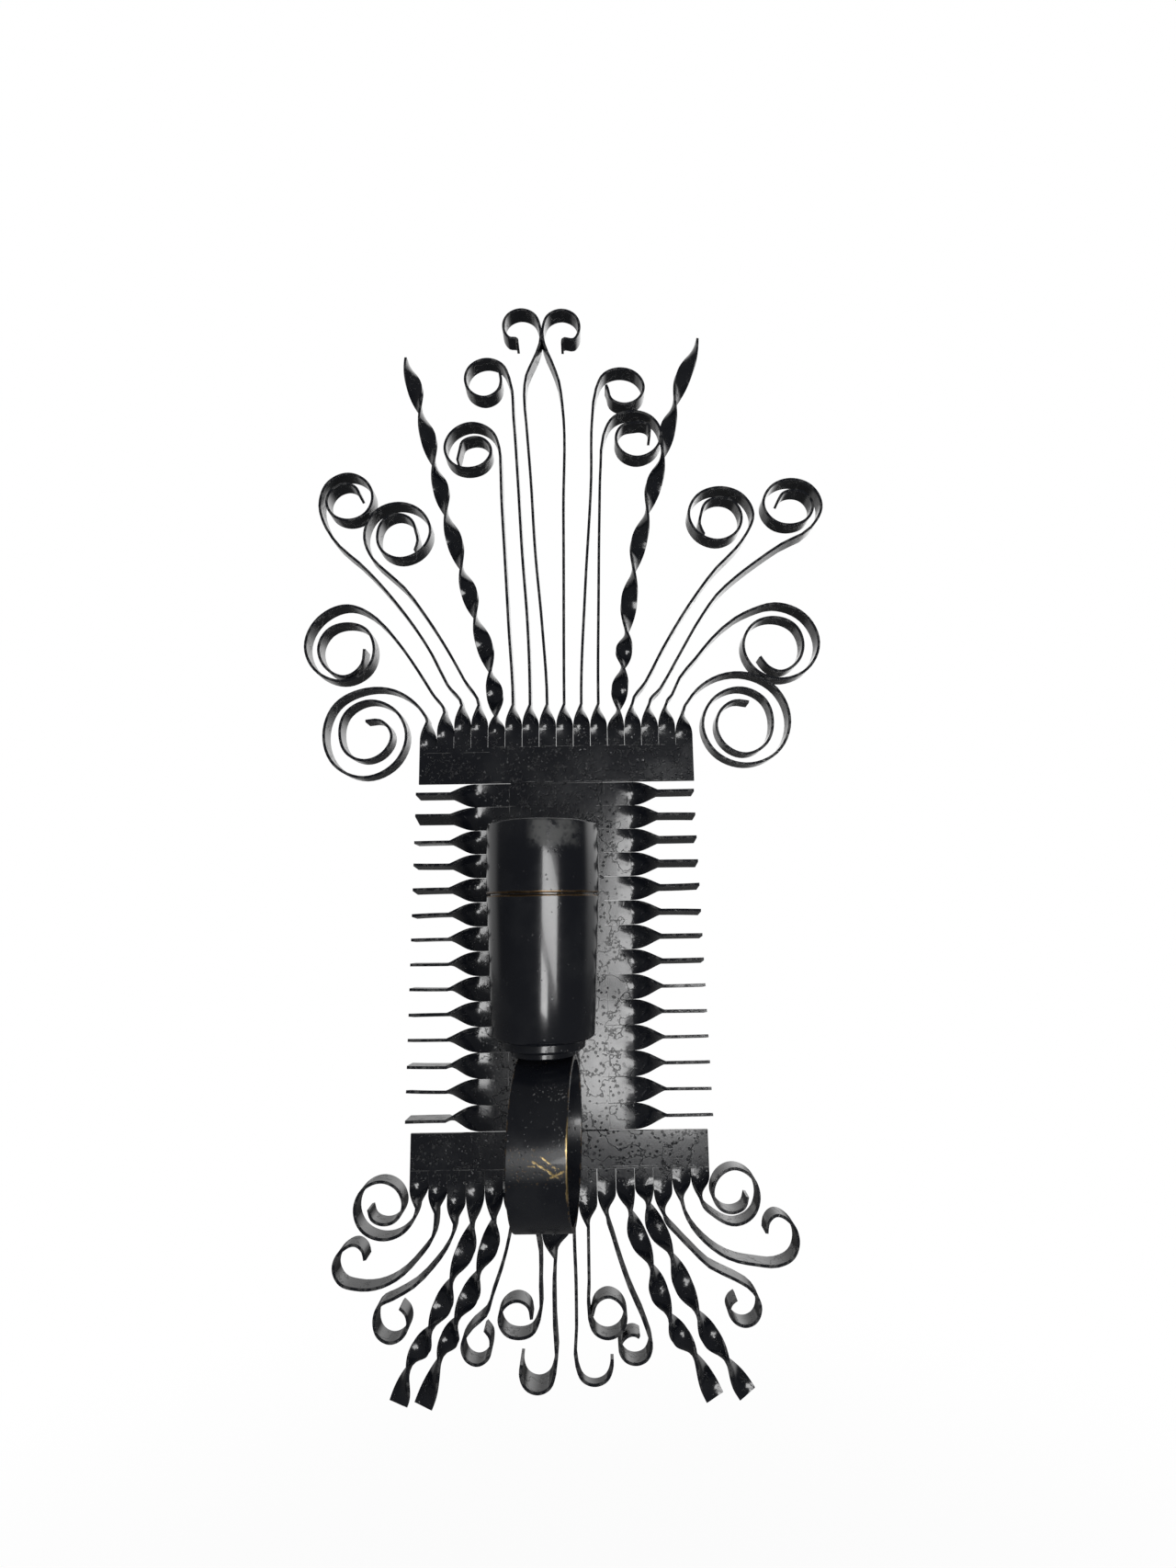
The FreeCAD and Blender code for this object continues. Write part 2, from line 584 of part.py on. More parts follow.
def make_standoffs():
    return group([tube(standoff_r, m4_r + m4_hole_clear, standoff,
                       Vector(0, spine_back_y, z), Y)
                  for z in (fixing_span / 2, -fixing_span / 2)])


def make_fixing_screws():
    length = -spine_front_y - screw_short
    return group([screw(m4_r, length, m4_head_r, m4_head_h, Vector(0, spine_front_y, z), Y)
                  for z in (fixing_span / 2, -fixing_span / 2)])


def make_earth():
    at = Vector(0, -strap_t - earth_washer_t, 0)
    washer = tube(earth_washer_r, m4_r + m4_hole_clear, earth_washer_t, at, Y)
    return washer, screw(m4_r, earth_washer_t + strap_t - screw_short, m4_head_r, m4_head_h, at, Y)


def make_nipple():
    low = nipple_low_z()
    return tube(nipple_r, nipple_bore_r, foot_z + nipple_grip - low, axis_point + Z * low)


def nipple_low_z():
    return hoop_seat_z(nipple_washer_r) - nipple_washer_t - nipple_nut_h - nipple_spare


def make_nipple_washer():
    low = hoop_seat_z(nipple_washer_r) - nipple_washer_t
    return tube(nipple_washer_r, nipple_r + nipple_clear, nipple_washer_t, axis_point + Z * low)


def make_nipple_nut():
    at = axis_point + Z * (hoop_seat_z(nipple_washer_r) - nipple_washer_t - nipple_nut_h)
    return hexagon(nipple_nut_r, nipple_nut_h, at, Z).cut(
        cylinder(nipple_r + nipple_clear, nipple_nut_h, at))


def make_bush():
    low = nipple_low_z()
    body = cylinder(nipple_r, bush_lip_h, axis_point + Z * (low - bush_lip_h))
    body = body.fuse(cylinder(nipple_bore_r - bush_clear, bush_length, axis_point + Z * low))
    return body.cut(cylinder(bush_bore_r, bush_length + bush_lip_h,
                             axis_point + Z * (low - bush_lip_h)))


def make_collar():
    return tube(collar_r, nipple_r + nipple_clear, collar_h, axis_point + Z * hoop_top_z)


def make_neck_ring():
    z0 = hoop_top_z + collar_h
    z1 = z0 + neck_h
    bore = nipple_r + nipple_clear
    return turned([(bore, z0), (neck_r - neck_edge, z0), (neck_r, z0 + neck_edge),
                   (neck_r, z1 - neck_edge), (neck_r - neck_edge, z1), (bore, z1)])


def neck_outer_r():
    return sleeve_r - sleeve_t - sleeve_clear


def make_cup():
    f = foot_z
    bore = nipple_r + nipple_clear
    mid = (cup_foot_r + 0.72 * (cup_low_r - cup_foot_r), f + 0.28 * cup_low_h)
    t = cup_t
    neck_in = neck_outer_r() - t
    outline = [(bore, f), (cup_foot_r, f), mid, (cup_low_r, f + cup_low_h),
               (cup_mid_r, f + cup_mid_h), (cup_top_r, seam_z), (neck_outer_r(), seam_z),
               (neck_outer_r(), neck_top_z), (neck_in, neck_top_z), (neck_in, seam_z - t),
               (cup_mid_r - t, f + cup_mid_h), (cup_low_r - t, f + cup_low_h),
               (cup_foot_r - t, f + cup_floor_t), (cup_boss_r, f + cup_floor_t),
               (cup_boss_r, f + cup_boss_h), (bore, f + cup_boss_h)]
    cup = turned(outline)
    return cup.cut(cylinder(m3_r + thread_clear, cup_boss_r - nipple_r + 1,
                            axis_point + Vector(0, -cup_boss_r - 1, grub_z()), Y))


def grub_z():
    return foot_z + (cup_floor_t + cup_boss_h) / 2


def make_grub():
    length = cup_boss_r - nipple_r
    at = axis_point + Vector(0, -cup_boss_r, grub_z())
    body = cylinder(m3_r, length, at, Y)
    return body.cut(box(at.x - slot_w / 2, at.x + slot_w / 2, at.y - 1, at.y + slot_d,
                        at.z - m3_r, at.z + m3_r))


def make_sleeve():
    r = sleeve_r
    inner = r - sleeve_t
    e = sleeve_round
    lip = rim_z - sleeve_lip_t
    return turned([(inner, sleeve_low_z), (r - sleeve_edge, sleeve_low_z),
                   (r, sleeve_low_z + sleeve_edge),
                   (r, rim_z - e), (r - 0.3 * e, rim_z - 0.3 * e), (r - e, rim_z),
                   (sleeve_mouth_r, rim_z), (sleeve_mouth_r, lip), (inner, lip)])


def make_ring():
    low = neck_top_z + ceramic_flange_h + ring_gap
    high = rim_z - sleeve_lip_t - ring_gap
    r = sleeve_r - sleeve_t - ring_clear
    return turned([(ring_bore_r, low), (r, low), (r, high - ring_edge), (r - ring_edge, high),
                   (ring_bore_r + ring_edge, high), (ring_bore_r, high - ring_edge)])


def screw_places():
    return [(contact_screw_x, floor_z + contact_t), (shell_screw_x, floor_z + shell_t)]


def make_ceramic():
    low = foot_z + ceramic_low
    top = neck_top_z + ceramic_flange_h
    body = turned([(0, low), (ceramic_r - 1, low), (ceramic_r, low + 1), (ceramic_r, neck_top_z),
                   (ceramic_flange_r, neck_top_z), (ceramic_flange_r, top),
                   (ceramic_bore_r, top), (ceramic_bore_r, floor_z), (0, floor_z)])
    for x, z in screw_places():
        body = body.cut(cylinder(m2_r + thread_clear, z - low, axis_point + Vector(x, 0, low)))
    return body


def make_shell():
    z0 = floor_z
    wall = shell_t / 2
    inner = [(shell_mid_r - wall, z0 + shell_t), (shell_mid_r - wall, z0 + shell_foot_h)]
    outer = [(shell_mid_r + wall, z0), (shell_mid_r + wall, z0 + shell_foot_h)]
    for k in range(1, shell_turns * 4 + 1):
        h = z0 + shell_foot_h + k * shell_pitch / 4
        r = shell_mid_r - shell_wave * math.sin(k * math.pi / 2)
        inner.append((r - wall, h))
        outer.append((r + wall, h))
    profile = [(shell_foot_bore_r, z0)] + outer + inner[::-1] + [(shell_foot_bore_r, z0 + shell_t)]
    body = turned(profile)
    return body.cut(cylinder(m2_r + thread_clear, shell_t, axis_point + Vector(shell_screw_x, 0, z0)))


def make_contact_foot():
    a = axis_point
    x0 = a.x + contact_hinge_x + contact_gap
    foot = box(x0, x0 + contact_foot_l, a.y - contact_w / 2, a.y + contact_w / 2,
               floor_z, floor_z + contact_t)
    return foot.cut(cylinder(m2_r + thread_clear, contact_t, a + Vector(contact_screw_x, 0, floor_z)))


def make_contact_tongue():
    t = contact_t
    top = floor_z + contact_rise
    side = [(contact_hinge_x, floor_z), (contact_hinge_x, floor_z + t),
            (contact_top_x + 0.2, top), (contact_tip_x, top), (contact_tip_x, top - t),
            (contact_top_x, top - t)]
    points = [Vector(axis_point.x + x, axis_point.y - contact_w / 2, z) for x, z in side]
    return extruded(points, Y * contact_w)


def make_contact_screws():
    low = foot_z + ceramic_low
    out = []
    for x, z in screw_places():
        out.append(screw(m2_r, z - low + m2_reach, m2_head_r, m2_head_h,
                         axis_point + Vector(x, 0, z), Vector(0, 0, -1)))
    return group(out)


def make_terminals():
    blocks = []
    screws = []
    top = foot_z + ceramic_low
    for x, z in screw_places():
        c = axis_point + Vector(x, 0, top)
        block = box(c.x - terminal_w / 2, c.x + terminal_w / 2, c.y - terminal_w / 2,
                    c.y + terminal_w / 2, c.z - terminal_h, c.z)
        block = block.cut(cylinder(m2_r + thread_clear, terminal_h, c - Z * terminal_h))
        wire_z = c.z - terminal_h * 0.56
        block = block.cut(cylinder(terminal_wire_r, terminal_w,
                                   Vector(c.x, c.y - terminal_w / 2, wire_z), Y))
        blocks.append(block)
        screws.append(screw(m2_r, terminal_screw_l, terminal_head_r, m2_head_h,
                            c - Z * terminal_h, Z))
    return group(blocks), group(screws)


def main():
    os.makedirs("parts", exist_ok=True)
    crown_wide = widths(16, {})
    base_wide = widths(16, {7: tail_left, 8: tail_wide, 9: tail_right})
    save("crown_plate", leaf(crown_strips, crown_bars, crown_wide, crown_z, 1, crown_slit_z,
                             crown_flat_z, crown_turn_h, crown_bar_flat, crown_bar_end))
    save("base_plate", leaf(base_strips, base_bars, base_wide, base_z, -1, base_slit_z,
                            base_flat_z, base_turn_h, base_bar_flat, base_bar_end))
    save("spine_plate", spine_sheet())
    save("hoop", make_hoop())
    save("hoop_packing", make_packing())
    save("hoop_screw", make_hoop_screw())
    save("hoop_nut", make_hoop_nut())
    save("cable_grommet", make_grommet())
    save("wall_strap", make_strap())
    save("standoff_sleeves", make_standoffs())
    save("fixing_screws", make_fixing_screws())
    washer, earth = make_earth()
    save("earth_washer", washer)
    save("earth_screw", earth)
    save("nipple_tube", make_nipple())
    save("nipple_washer", make_nipple_washer())
    save("nipple_nut", make_nipple_nut())
    save("nipple_bush", make_bush())
    save("collar_nut", make_collar())
    save("neck_ring", make_neck_ring())
    save("holder_cup", make_cup())
    save("grub_screw", make_grub())
    save("ceramic_body", make_ceramic())
    save("screw_shell", make_shell())
    save("contact_foot", make_contact_foot())
    save("contact_tongue", make_contact_tongue())
    save("contact_screws", make_contact_screws())
    blocks, screws = make_terminals()
    save("terminal_blocks", blocks)
    save("terminal_screws", screws)
    save("insulating_ring", make_ring())
    save("holder_sleeve", make_sleeve())


main()
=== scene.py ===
import json
import math
import bmesh
import bpy
from mathutils import Matrix, Vector, noise


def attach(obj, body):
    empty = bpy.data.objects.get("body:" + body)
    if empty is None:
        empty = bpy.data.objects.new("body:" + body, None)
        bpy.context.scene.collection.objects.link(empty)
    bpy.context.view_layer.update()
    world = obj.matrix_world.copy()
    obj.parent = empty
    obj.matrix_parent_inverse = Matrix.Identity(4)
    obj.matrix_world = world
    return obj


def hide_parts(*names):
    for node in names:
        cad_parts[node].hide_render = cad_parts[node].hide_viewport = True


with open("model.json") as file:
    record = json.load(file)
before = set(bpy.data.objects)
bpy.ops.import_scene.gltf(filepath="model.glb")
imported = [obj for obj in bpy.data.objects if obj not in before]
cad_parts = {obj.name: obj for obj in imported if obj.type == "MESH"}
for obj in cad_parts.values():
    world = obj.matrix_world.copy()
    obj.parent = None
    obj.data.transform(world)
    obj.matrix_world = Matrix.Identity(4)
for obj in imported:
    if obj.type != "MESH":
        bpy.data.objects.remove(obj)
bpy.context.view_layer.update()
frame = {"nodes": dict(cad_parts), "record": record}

mm = 0.001
axisX = Vector((1, 0, 0))
axisY = Vector((0, 1, 0))
axisZ = Vector((0, 0, 1))
bodyOf = {}
for bodyName, members in frame["record"]["behaviour"]["bodies"].items():
    for member in members:
        bodyOf[member] = bodyName
slotOf = {part["node"]: part["material_slot"] for part in frame["record"]["subparts"]}


# shader graphs written as sums and products
class Value:
    def __init__(self, graph, socket):
        self.graph = graph
        self.socket = socket

    def maths(self, operation, first, second=0.0):
        return self.graph.node("ShaderNodeMath", {"operation": operation}, {0: first, 1: second})

    def __add__(self, other):
        return self.maths("ADD", self, other)

    def __sub__(self, other):
        return self.maths("SUBTRACT", self, other)

    def __rsub__(self, other):
        return self.maths("SUBTRACT", other, self)

    def __mul__(self, other):
        return self.maths("MULTIPLY", self, other)

    def __abs__(self):
        return self.maths("ABSOLUTE", self)

    def most(self, other):
        return self.maths("MAXIMUM", self, other)

    def least(self, other):
        return self.maths("MINIMUM", self, other)

    __radd__ = __add__
    __rmul__ = __mul__


class Graph:
    def __init__(self, holder):
        holder.use_nodes = True
        self.tree = holder.node_tree
        self.tree.nodes.clear()

    def node(self, kind, settings=None, inputs=None, out=0):
        made = self.tree.nodes.new(kind)
        for key, value in (settings or {}).items():
            setattr(made, key, value)
        for key, value in (inputs or {}).items():
            if isinstance(value, Value):
                self.tree.links.new(value.socket, made.inputs[key])
            elif isinstance(value, tuple) and len(made.inputs[key].default_value) == 4:
                made.inputs[key].default_value = (*value, 1)
            else:
                made.inputs[key].default_value = value
        return Value(self, made.outputs[out]) if made.outputs else None

    def place(self, stretch=(1, 1, 1)):   # object coordinates, in millimetres
        spot = self.node("ShaderNodeTexCoord", out="Object")
        return self.node("ShaderNodeMapping", None,
                         {"Vector": spot, "Scale": tuple(s / mm for s in stretch)})

    def parts(self, vector):   # x, y and z of a vector
        split = self.node("ShaderNodeSeparateXYZ", None, {0: vector})
        return [Value(self, socket) for socket in split.socket.node.outputs]

    def grain(self, spot, size, detail=3.0, rough=0.55):   # noise with features of that size
        return self.node("ShaderNodeTexNoise", None, {"Vector": spot, "Scale": 1.0 / size,
                                                      "Detail": detail, "Roughness": rough})

    def dots(self, spot, size):   # distance to the nearest of scattered points
        return self.node("ShaderNodeTexVoronoi", {"feature": "F1"},
                         {"Vector": spot, "Scale": 1.0 / size})

    def ease(self, value, low, high, start=0.0, end=1.0):   # smooth step between two values
        return self.node("ShaderNodeMapRange", {"interpolation_type": "SMOOTHSTEP"},
                         {"Value": value, "From Min": low, "From Max": high,
                          "To Min": start, "To Max": end})

    def near(self, value, place, half, soft=0.1):   # 1 within half of place, fading to 0
        return self.ease(abs(value - place), half, half + soft, 1.0, 0.0)

    def blend(self, amount, first, second):   # colours
        return self.node("ShaderNodeMix", {"data_type": "RGBA"},
                         {0: amount, 6: first, 7: second}, 2)

    def mark(self, name):   # a value kept on the mesh's points
        return self.node("ShaderNodeAttribute", {"attribute_name": name}, out="Fac")

    def bump(self, height, distance, strength, before=None):
        inputs = {"Height": height, "Distance": distance, "Strength": strength}
        if before:
            inputs["Normal"] = before
        return self.node("ShaderNodeBump", None, inputs)

    def finish(self, **sockets):
        shader = self.node("ShaderNodeBsdfPrincipled", None,
                           {key.replace("_", " "): value for key, value in sockets.items()})
        self.node("ShaderNodeOutputMaterial", None, {"Surface": shader})


def newMaterial(name):
    material = bpy.data.materials.new(name)
    return material, Graph(material)


# black paint: nearly black, with pits, hazy rough patches and cracks. Sizes in millimetres
paintLook = {
    "black": (0.0056, 0.0064, 0.009), "haze": (0.017, 0.0185, 0.021),
    "steel": (0.22, 0.22, 0.215), "brass": (0.44, 0.32, 0.14), "tarnish": (0.12, 0.075, 0.035),
    "gloss": 0.14, "patch": 14.0, "crack": 11.0, "fine size": 0.6, "wave size": 26.0,
    "worn depth": 0.03, "coat rough": 0.06,
}
steelPaint = paintLook | {
    "waves": 0.3, "fine": 0.012, "coat": 0.25, "pit": 2.1, "pitted": 0.1, "deep": 0.2,
    "cracks": True, "on strips": 0.15,
}
holderPaint = paintLook | {
    "gloss": 0.16, "waves": 0.05, "fine": 0.003, "coat": 0.35, "pit": 1.8, "pitted": -0.06,
    "deep": 0.04, "cracks": False, "on strips": 1.0,
}
hoopPaint = paintLook | {
    "gloss": 0.18, "waves": 0.12, "fine": 0.008, "coat": 0.2, "pit": 1.6, "pitted": 0.0,
    "deep": 0.06, "cracks": False, "on strips": 1.0,
}


def paintBase(graph, look, spot):
    patch = graph.ease(graph.grain(spot, look["patch"], 4.0), 0.42, 0.7)
    ragged = (graph.grain(spot, 0.7, 2.0) - 0.5) * 0.3
    specks = graph.ease(graph.dots(spot, look["pit"]) + ragged, 0.16, 0.3, 1.0, 0.0)
    sparse = graph.ease(graph.grain(spot, 5.0, 3.0), 0.5 - look["pitted"], 0.6 - look["pitted"])
    pits = specks * sparse
    if look["on strips"] < 1:   # the curled strips are cleaner than the flat sheet
        pits = pits * graph.ease(graph.mark("along"), 1.0, 7.0, 1.0, look["on strips"])
    crack = 0.0
    if look["cracks"]:
        crack = graph.near(graph.grain(spot, look["crack"], 4.0), 0.52, 0.003, 0.008)
    fine = graph.grain(spot, look["fine size"], 2.0, 0.6)
    colour = graph.blend(patch * 0.3 + pits * 0.15, look["black"], look["haze"])
    rough = look["gloss"] + patch * 0.06 + fine * 0.04 + pits * 0.3 + crack * 0.2
    waves = graph.bump(graph.grain(spot, look["wave size"], 2.0), 1.0, look["waves"] * mm)
    height = fine * look["fine"] - (pits + crack) * look["deep"]
    return colour, rough, height, waves


# on the hoop, one of the wear rows is a band of painted sheen
def wornPaint(name, look, wear):   # wear gives rows of mask, colour, metallic and roughness
    material, graph = newMaterial(name)
    spot = graph.place()
    colour, rough, height, waves = paintBase(graph, look, spot)
    metal = 0.0
    for mask, shade, metallic, roughness in wear(graph, spot):
        colour = graph.blend(mask, colour, shade)
        rough = rough * (1 - mask) + mask * roughness
        metal = mask * metallic + (1 - mask) * metal
        height = height - mask * look["worn depth"]
    normal = graph.bump(height, mm, 1.0, waves)
    graph.finish(Base_Color=colour, Metallic=metal, Roughness=rough, Normal=normal, IOR=1.5,
                 Coat_Weight=look["coat"], Coat_Roughness=look["coat rough"])
    return material


# sheets: slit, turned on edge and curled. Millimetres, in the part's own frame
sheetLook = {
    "thick": 1.2, "gap": 0.12, "bevel": 0.2, "leaf y": -10.3, "spine y": -9.1,
    "wave": 0.12, "waves a metre": 22, "turn ease": 0.3,
    # faces across a strip, and rows of them along the base, a turn on edge and half a twist
    "across": 4, "base rows": 5, "turn rows": 9, "twist rows": 14,
    "most bend": 8.0, "most step": 8.0,   # of one row on a curl, in degrees and millimetres
}


def curvePoints(points, first, cuts=0):   # smooth line through points, and the way at each
    chord = [(b - a).length for a, b in zip(points, points[1:])]
    slope = [first]
    for k in range(1, len(points) - 1):
        before = (points[k] - points[k - 1]) / chord[k - 1]
        after = (points[k + 1] - points[k]) / chord[k]
        slope.append((before * chord[k] + after * chord[k - 1]).normalized())
    slope.append((points[-1] - points[-2]).normalized())
    line = [(points[0], first)]
    for k, length in enumerate(chord):
        bend = math.degrees(slope[k].angle(slope[k + 1]))
        steps = cuts or max(2, math.ceil(bend / sheetLook["most bend"]),
                            math.ceil(length / sheetLook["most step"]))
        for j in range(1, steps + 1):
            t = j / steps
            place = (points[k] * (2 * t ** 3 - 3 * t ** 2 + 1)
                     + slope[k] * length * (t ** 3 - 2 * t ** 2 + t)
                     + points[k + 1] * (3 * t ** 2 - 2 * t ** 3)
                     + slope[k + 1] * length * (t ** 3 - t ** 2))
            way = (points[k] * (6 * t ** 2 - 6 * t) + slope[k] * length * (3 * t ** 2 - 4 * t + 1)
                   + points[k + 1] * (6 * t - 6 * t ** 2)
                   + slope[k + 1] * length * (3 * t ** 2 - 2 * t))
            line.append((place, way.normalized()))
    return line


def scrollPoints(eye, turn, start, radii, tail):   # a radius at each quarter turn
    points = []
    quarter = math.pi / 2
    heading = math.radians(start)
    for k, radius in enumerate(radii):
        sizes = [radius]
        if k + 1 < len(radii):
            sizes.append((radius + radii[k + 1]) / 2)
        for half, size in enumerate(sizes):
            angle = heading + turn * quarter * (k + half / 2)
            points.append((eye[0] + size * math.cos(angle), eye[1] + size * math.sin(angle)))
    sweep, last = tail
    steps = math.ceil(sweep / 45)   # degrees
    for k in range(1, steps + 1):
        size = radii[-1] + (last - radii[-1]) * k / steps
        angle = heading + turn * (quarter * (len(radii) - 1) + math.radians(sweep) * k / steps)
        points.append((eye[0] + size * math.cos(angle), eye[1] + size * math.sin(angle)))
    return points


def poseAt(place, way, across):   # where a strip's cross-section stands
    across = across.normalized()
    normal = way.cross(across).normalized()
    across = normal.cross(way).normalized()
    turn = Matrix((across, way, normal)).transposed().to_4x4()
    return Matrix.Translation(place * mm) @ turn


def drawStrip(bm, edges, poses, lengths):   # extrudes the edges from pose to pose
    along = bm.verts.layers.float["along"]
    for k in range(1, len(poses)):
        made = bmesh.ops.extrude_edge_only(bm, edges=edges)["geom"]
        verts = [g for g in made if isinstance(g, bmesh.types.BMVert)]
        edges = [g for g in made if isinstance(g, bmesh.types.BMEdge)]
        bmesh.ops.transform(bm, matrix=poses[k] @ poses[k - 1].inverted(), verts=verts)
        for vert in verts:
            vert[along] = lengths[k]
    return edges


def rootRow(bm, spans, centre, across):   # first row: the strips of a comb and the cuts
    layer = bm.verts.layers.float["across"]
    last = None
    for place, width, cuts in spans:
        row = []
        for k in range(cuts + 1):
            f = 2 * k / cuts - 1
            vert = bm.verts.new((centre + across * (place + f * width / 2)) * mm)
            vert[layer] = f
            row.append(vert)
        if last:
            bm.edges.new((last, row[0]))
        for pair in zip(row, row[1:]):
            bm.edges.new(pair)
        last = row[-1]


def startSheet():   # each point knows its place across its strip and along it
    bm = bmesh.new()
    bm.verts.layers.float.new("across")
    bm.verts.layers.float.new("along")
    return bm


def combBase(bm, centre, way, across, spans, depth):   # the sheet up to where the cuts end
    rootRow(bm, spans, centre, across)
    steps = sheetLook["base rows"]
    poses = [poseAt(centre + way * (depth * k / steps), way, across) for k in range(steps + 1)]
    return drawStrip(bm, list(bm.edges), poses, [0.0] * len(poses))


def rowOf(edges, centre, across, place, width):   # the edges that one strip grows from
    slack = 0.01
    low = place - width / 2 - slack
    high = place + width / 2 + slack
    found = []
    for edge in edges:
        spots = [(vert.co / mm - centre).dot(across) for vert in edge.verts]
        if min(spots) > low and max(spots) < high:
            found.append(edge)
    return found


def settle(bm, seed):   # slight unevenness of hand-cut sheet
    for vert in bm.verts:
        spot = vert.co * sheetLook["waves a metre"] + Vector((seed, seed, seed))
        vert.co.y += noise.noise(spot) * sheetLook["wave"] * mm


def finishPiece(bm, name, node, material, bevel, thick=None, angle=40):
    bmesh.ops.remove_doubles(bm, verts=bm.verts, dist=0.002 * mm)
    bmesh.ops.recalc_face_normals(bm, faces=bm.faces)
    mesh = bpy.data.meshes.new(name)
    bm.to_mesh(mesh)
    bm.free()
    for face in mesh.polygons:
        face.use_smooth = True
    mesh.materials.append(material)
    piece = bpy.data.objects.new(name, mesh)
    bpy.context.scene.collection.objects.link(piece)
    if thick:
        wall = piece.modifiers.new("wall", "SOLIDIFY")
        wall.thickness = thick * mm
        wall.offset = 0
        wall.use_even_offset = True
        wall.use_quality_normals = True
    rounded = piece.modifiers.new("edges", "BEVEL")
    rounded.width = bevel * mm
    rounded.segments = 2
    rounded.limit_method = "ANGLE"
    rounded.angle_limit = math.radians(angle)
    rounded.harden_normals = True
    rounded.miter_outer = "MITER_ARC"
    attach(piece, bodyOf[node])
    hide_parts(node)
    print("made", name)


def quarterPoses(place, way, across, length, turn=90.0, hand=1):   # from flat to on edge
    ease = sheetLook["turn ease"]
    steps = sheetLook["turn rows"]
    poses = []
    for k in range(1, steps + 1):
        f = k / steps
        eased = (1 - ease) * f + ease * f * f * (3 - 2 * f)
        angle = math.radians(turn) * eased * hand
        side = across * math.cos(angle) + axisY * math.sin(angle)
        poses.append(poseAt(place + way * (length * f), way, side))
    return poses


# crown and tail: lengths run from the sheet's straight edge. A strip's points start where it
# stands on edge, and a bar's where its flat ends. A long flat gets one more row
leafLook = {"strips": 16, "pitch": 7.5, "long flat": 4.0}
crownLook = {
    "edge": 71.4, "up": 1, "slit": 16.0, "flat": 23.4, "turn": 11.0, "bar flat": 22.6,
    "bar end": 180, "widths": {},
}
crownStrips = [
    # number, stem, then the scroll's eye, hand, first angle, radii and tail (sweep, last radius),
    # bent end, and the strip's own flat height
    (1, [(-2.0, 4.2), (-7.5, 10.2), (-14.5, 14.2)], (-27.0, -5.3), 1, 90,
     [20.5, 18.0, 19.0, 18.0, 15.0, 11.0, 11.5, 11.5, 6.0], (0, 0), [], 16.3),
    (2, [(-5.5, 8.7), (-12.0, 19.2), (-22.5, 34.2), (-31.0, 43.7), (-37.5, 48.2)],
     (-44.0, 31.2), 1, 90, [19.0, 18.5, 16.0, 12.0, 10.5, 12.5, 14.0], (79, 8.0), [], 20.3),
    (3, [(-6.5, 9.6), (-13.5, 23.6), (-30.5, 48.6), (-47.5, 67.6), (-56.5, 75.6), (-63.0, 84.6)],
     (-54.0, 98.6), -1, 180, [12.5, 13.0, 11.5, 10.0, 9.5, 8.0], (68, 6.0), [], None),
    (4, [(-6.5, 11.6), (-13.0, 23.6), (-25.5, 43.6), (-34.0, 55.1), (-42.5, 63.1), (-49.0, 69.6)],
     (-38.0, 82.1), -1, 180, [15.0, 14.5, 15.0, 12.5, 9.0, 9.0, 8.5], (47, 12.0), [], None),
    (6, [(-2.0, 36.1), (-4.0, 72.1), (-5.5, 99.1), (-6.0, 115.1)], (-20.0, 123.1), 1, 0,
     [13.5, 13.5, 12.0, 9.5, 9.5, 6.0, 5.0], (41, 8.0), [], None),
    (7, [(-1.0, 36.1), (-3.5, 71.6), (-5.5, 108.1), (-7.5, 139.1)], (-21.0, 159.6), 1, 0,
     [11.5, 10.5, 9.5, 9.5, 7.5], (34, 8.0), [], None),
    (8, [(-2.0, 36.1), (-5.0, 71.6), (-7.0, 108.1), (-9.0, 136.1), (-10.0, 150.6),
         (-9.0, 161.1), (-6.0, 168.6), (-2.5, 178.1)], (-12.0, 187.6), 1, 0,
     [9.5, 9.0, 8.0], (50, 8.0), [(-13.5, 180.6), (-13.2, 178.6)], None),
    (9, [(0.5, 91.1), (0.5, 145.6), (-1.0, 157.6), (-4.5, 168.6), (-8.0, 178.1)],
     (0.5, 187.1), -1, 180, [9.0, 9.0, 8.5], (50, 9.0), [(1.0, 180.1), (0.7, 178.1)], None),
    (10, [(2.5, 53.6), (6.0, 107.6), (7.0, 139.1)], (21.0, 153.6), -1, 180,
     [12.0, 10.5, 10.5, 8.0, 6.5], (16, 7.5), [], None),
    (11, [(1.0, 51.1), (2.0, 89.1), (3.0, 114.1)], (19.0, 129.1), -1, 180,
     [14.5, 12.5, 12.5, 11.0, 8.5, 6.5], (52, 8.5), [(26.0, 128.6)], None),
    (13, [(6.0, 9.6), (14.5, 25.6), (31.0, 51.6), (39.5, 62.6), (48.5, 71.6), (54.0, 79.1)],
     (42.0, 88.6), 1, 0, [15.5, 13.5, 14.0, 12.5, 10.0, 8.5, 8.5], (52, 12.0), [], None),
    (14, [(5.0, 6.6), (12.0, 18.6), (25.0, 40.6), (31.5, 49.6), (40.0, 57.6), (49.0, 64.6),
          (62.0, 73.6), (76.0, 81.6)], (68.0, 93.1), 1, 0,
     [13.5, 12.5, 13.0, 10.0, 9.5, 7.0], (72, 6.5), [], None),
    (15, [(2.5, 3.6), (6.0, 11.1), (13.5, 20.1), (21.0, 29.1), (32.0, 38.6), (40.0, 42.6)],
     (50.0, 26.6), -1, 90, [18.5, 18.5, 16.5, 15.0, 12.0, 11.5, 13.0], (52, 10.0), [], None),
    (16, [(2.0, 3.7), (6.0, 8.7), (13.0, 13.7)], (26.0, -6.3), -1, 90,
     [22.5, 20.0, 18.5, 18.0, 15.5, 12.5, 14.0, 12.0], (106, 9.5), [], 20.3),
]
